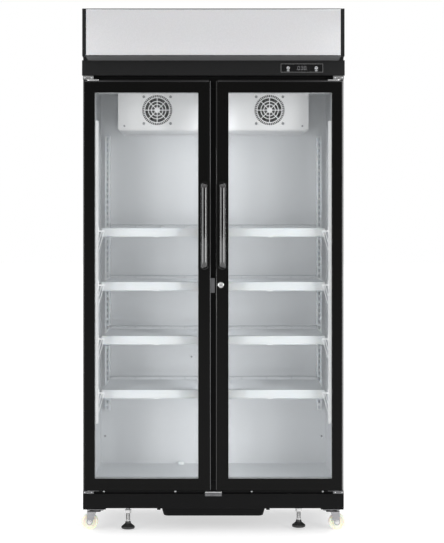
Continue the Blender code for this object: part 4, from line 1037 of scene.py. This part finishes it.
def build_pipes(x, y):
    """Discharge, suction, liquid and capillary lines, and the filter drier."""
    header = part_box("condenser")[0].y + 0.006
    z = DECK + 0.030
    routes = [
        ([(x + 0.040, y - 0.055, DECK + 0.150), (x + 0.055, y - 0.085, DECK + 0.165),
          (x + 0.060, -0.150, DECK + 0.165), (0.300, -0.150, DECK + 0.165),
          (0.300, header, DECK + 0.165)], 0.0032),
        ([(x - 0.045, y - 0.050, DECK + 0.140), (x - 0.062, y - 0.078, DECK + 0.155),
          (x - 0.062, -0.130, DECK + 0.155), (x - 0.062, -0.130, DECK + 0.001)], 0.0045),
        ([(0.330, header, DECK + 0.020), (0.330, -0.165, DECK + 0.020), (0.180, -0.165, z),
          (0.180, -0.040, z)], 0.0030),
        ([(0.180, 0.060, z), (0.180, 0.140, z), (0.150, 0.220, z), (0.150, 0.220, DECK + 0.001)],
         0.0015)]
    pipes = Shape()
    for points, radius in routes:
        pipes.tube(rounded_path(points, 0.016), radius, 12)
    pipes.lathe([(0.0032, 0), (0.0090, 0.012), (0.0100, 0.018), (0.0100, 0.082), (0.0090, 0.088),
                 (0.0020, 0.100)], (0.180, -0.040, z), BACK, 28)
    pipes.done("refrigerant_pipes", COPPER)


def build_condenser():
    low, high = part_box("condenser")
    sheet_x = low.x + 0.0012
    y0, y1 = low.y + 0.018, high.y - 0.018
    fins = Shape()
    count = 92
    for index in range(count):
        y = y0 + (y1 - y0) * index / (count - 1)
        fins.box((low.x + 0.008, y - 0.00022, low.z + 0.006),
                 (high.x, y + 0.00022, high.z - 0.006))
    fins.done("condenser_fins", FINS, slot="fin_aluminium", stands_for=("condenser",))
    case = Shape()
    for y in (y0 - 0.004, y1 + 0.0028):
        case.box((low.x + 0.006, y, low.z + 0.001), (high.x, y + 0.0012, high.z - 0.001), 0.0003)
    for z in (low.z, high.z - 0.0032):
        case.box((low.x + 0.006, y0 - 0.004, z), (high.x, y1 + 0.004, z + 0.0012), 0.0003)
    centre_y, centre_z = (low.y + high.y) / 2, low.z + 0.094

    def around(reach, x):
        """A point of the shroud for each of 64 turns, at a reach that may depend on the turn."""
        turns = [2 * math.pi * index / 64 for index in range(64)]
        return [Vector((x, centre_y + reach(a) * math.cos(a), centre_z + reach(a) * math.sin(a)))
                for a in turns]

    def border(a):
        return min(0.204 / max(abs(math.cos(a)), 1e-6), 0.093 / max(abs(math.sin(a)), 1e-6))

    def hole(a):
        return 0.084

    case.skin([around(border, sheet_x), around(hole, sheet_x), around(hole, sheet_x + 0.0010),
               around(border, sheet_x + 0.0010)], closed=True)
    case.skin([around(lambda a, size=size: size, sheet_x - shift)
               for size, shift in ((0.0842, 0.0), (0.0828, 0.0), (0.0828, 0.012),
                                   (0.0842, 0.012))], closed=True)
    case.done("condenser_case", GALVANISED, slot="zinc_steel")
    tubes = Shape()
    levels = [low.z + 0.020 + 0.0245 * index for index in range(7)]
    for x in (low.x + 0.028, high.x - 0.020):
        points = []
        for index, z in enumerate(levels):
            ends = [(x, y0 - 0.004, z), (x, y1 + 0.004, z)]
            outward = y1 + 0.016
            if index % 2:
                ends.reverse()
                outward = y0 - 0.016
            points += ends
            if index < len(levels) - 1:
                points += [(x, outward, z), (x, outward, levels[index + 1])]
        tubes.tube(rounded_path(points, 0.0055, 4), 0.0036, 8)
    tubes.done("condenser_tubes", COPPER)
    rotor_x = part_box("condenser_fan")[0].x
    motor = Shape().lathe([(0, 0), (0.030, 0), (0.034, 0.004), (0.034, 0.040), (0.028, 0.046),
                           (0, 0.046)], (rotor_x - 0.001, centre_y, centre_z), (-1, 0, 0))
    motor.done("condenser_motor", PLASTIC, slot="fan_black")
    arms = Shape()
    for index in range(4):
        angle = math.radians(45 + 90 * index)
        hub, rim = ((centre_y + size * math.cos(angle), centre_z + size * math.sin(angle))
                    for size in (0.032, 0.088))
        arms.tube(rounded_path([(rotor_x - 0.020, *hub), (rotor_x - 0.020, *rim),
                                (sheet_x, *rim)], 0.006, 4), 0.0024, 8)
    arms.done("condenser_motor_arms", ZINC)


def build_electrics():
    """Junction box with three glands and leads, all on the cooling unit's deck."""
    low, high = Vector((0.078, -0.188, DECK + 0.0005)), Vector((0.168, -0.098, DECK + 0.105))
    box = Shape().box(low, high, 0.0015)
    box.box((low.x - 0.0015, low.y - 0.0015, high.z - 0.012),
            (high.x + 0.0015, high.y + 0.0015, high.z + 0.0012), 0.0012)
    box.done("electrics_box", GALVANISED, slot="zinc_steel")
    glands, leads = Shape(), Shape()
    for index, end in enumerate(((0.074, 0.080, DECK + 0.085), (0.214, 0.070, DECK + 0.094),
                                 (0.120, -0.060, DECK + 0.002))):
        at = Vector((0.095 + 0.022 * index, high.y, DECK + 0.070))
        glands.hexagon(at, BACK, 0.0130, 0.0060)
        glands.rod(at + Vector((0, 0.006, 0)), at + Vector((0, 0.012, 0)), 0.0050, 16, 0.001)
        start = at + Vector((0, 0.011, 0))
        middle = start + Vector((0, 0.020, 0))
        bend = Vector(((end[0] + start.x) / 2, middle.y + 0.01, DECK + 0.012 + 0.004 * index))
        leads.tube(rounded_path([start, middle, bend, end], 0.012), 0.0028)
    glands.done("electrics_glands", PLASTIC)
    leads.done("unit_leads", RUBBER)


# ---- stage --------------------------------------------------------------------------------
HORIZON_GLOW, ZENITH_GLOW = 0.12, 1.50
LAMP_COLOUR = (0.97, 0.98, 1.0)


def area_light(name, place, aim, size, power, colour=WHITE):
    data = bpy.data.lights.new(name, "AREA")
    data.shape = "RECTANGLE"
    data.size, data.size_y = size
    data.energy = power
    data.color = colour
    lamp = bpy.data.objects.new(name, data)
    bpy.context.scene.collection.objects.link(lamp)
    lamp.location = place
    lamp.rotation_mode = "QUATERNION"
    lamp.rotation_quaternion = (Vector(aim) - Vector(place)).to_track_quat("-Z", "Y")


def build_floor():
    reach = 40.0
    mesh = bpy.data.meshes.new("floor")
    mesh.from_pydata([(-reach, -reach, 0), (reach, -reach, 0), (reach, reach, 0),
                      (-reach, reach, 0)], [], [(0, 1, 2, 3)])
    mesh.materials.append(surface("floor_pale", (0.50, 0.50, 0.503), (0.54, 0.54, 0.543),
                                  (0.6, 0.75), patch=1.5, grain=80.0, bump=0.03, specular=0.1,
                                  glow=(WHITE, 0.58)))
    ground = bpy.data.objects.new("floor", mesh)
    bpy.context.scene.collection.objects.link(ground)


def build_world():
    """A studio that is plain white behind the object and lights it mostly from above."""
    world = bpy.data.worlds.new("studio")
    bpy.context.scene.world = world
    world.use_nodes = True
    tree = world.node_tree
    backdrop = tree.nodes["Background"]
    backdrop.inputs["Color"].default_value = (*WHITE, 1.0)
    direction = tree.nodes.new("ShaderNodeTexCoord")
    split = tree.nodes.new("ShaderNodeSeparateXYZ")
    tree.links.new(direction.outputs["Generated"], split.inputs["Vector"])
    glow = spread(tree, split.outputs["Z"], HORIZON_GLOW, ZENITH_GLOW, (0.0, 1.0))
    tree.links.new(glow, backdrop.inputs["Strength"])
    seen = tree.nodes.new("ShaderNodeBackground")
    seen.inputs["Color"].default_value = (*WHITE, 1.0)
    seen.inputs["Strength"].default_value = 1.0
    path = tree.nodes.new("ShaderNodeLightPath")
    mix = tree.nodes.new("ShaderNodeMixShader")
    tree.links.new(path.outputs["Is Camera Ray"], mix.inputs["Fac"])
    tree.links.new(backdrop.outputs["Background"], mix.inputs[1])
    tree.links.new(seen.outputs["Background"], mix.inputs[2])
    tree.links.new(mix.outputs["Shader"], tree.nodes["World Output"].inputs["Surface"])


def build_lights():
    area_light("key", (-3.6, -5.4, 1.6), (0, 0, 0.9), (1.0, 3.0), 74)
    area_light("fill", (3.6, -5.4, 1.6), (0, 0, 0.9), (1.0, 3.0), 122)
    area_light("strip_left", (-2.0, -1.7, 1.2), (0, -0.25, 1.1), (0.30, 2.6), 13)
    area_light("strip_right", (2.0, -1.9, 1.2), (0, -0.25, 1.1), (0.30, 2.6), 13)
    area_light("top", (0, 0.4, 4.2), (0, 0, 0.5), (3.0, 3.0), 15)
    area_light("back", (0.5, 3.6, 2.8), (0, 0, 1.0), (3.0, 2.0), 45)
    low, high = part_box("mullion_light")
    for name, z, length, power in (("lamp", (low.z + high.z) / 2, 1.34, 1.15),
                                   ("lamp_low", 0.42, 0.40, 0.09)):
        area_light(name, (0, high.y + 0.004, z), (0, 1, z), (0.03, length), power, LAMP_COLOUR)
    for side, sign in SIDES.items():
        area_light("floor_wash_" + side, (sign * 0.235, -0.166, 0.213),
                   (sign * 0.235, 0.15, 0.32), (0.40, 0.02), 0.16)


def build_camera():
    data = bpy.data.cameras.new("camera")
    camera = bpy.data.objects.new("camera", data)
    bpy.context.scene.collection.objects.link(camera)
    data.lens = 103.65
    data.sensor_width = 36.0
    data.shift_x = 0.0159
    data.shift_y = -0.0860
    data.clip_end = 100.0
    camera.location = (0.0, DOOR_FACE - 5.95, 1.178)
    camera.rotation_euler = (math.radians(90), 0, 0)
    bpy.context.scene.camera = camera


build_body()
build_pan()
build_bracket()
build_inside()
for door_side, door_sign in SIDES.items():
    build_door(door_side, door_sign)
build_lock()
build_sign()
build_display()
for foot_side in SIDES:
    build_foot(foot_side)
for caster_side, caster_sign in SIDES.items():
    build_caster("front", caster_side, (caster_sign, 0))
    build_caster("rear", caster_side, (0, 1))
build_compressor()
build_condenser()
build_electrics()
build_floor()
build_world()
build_lights()
build_camera()
bpy.context.scene.view_settings.view_transform = "Standard"
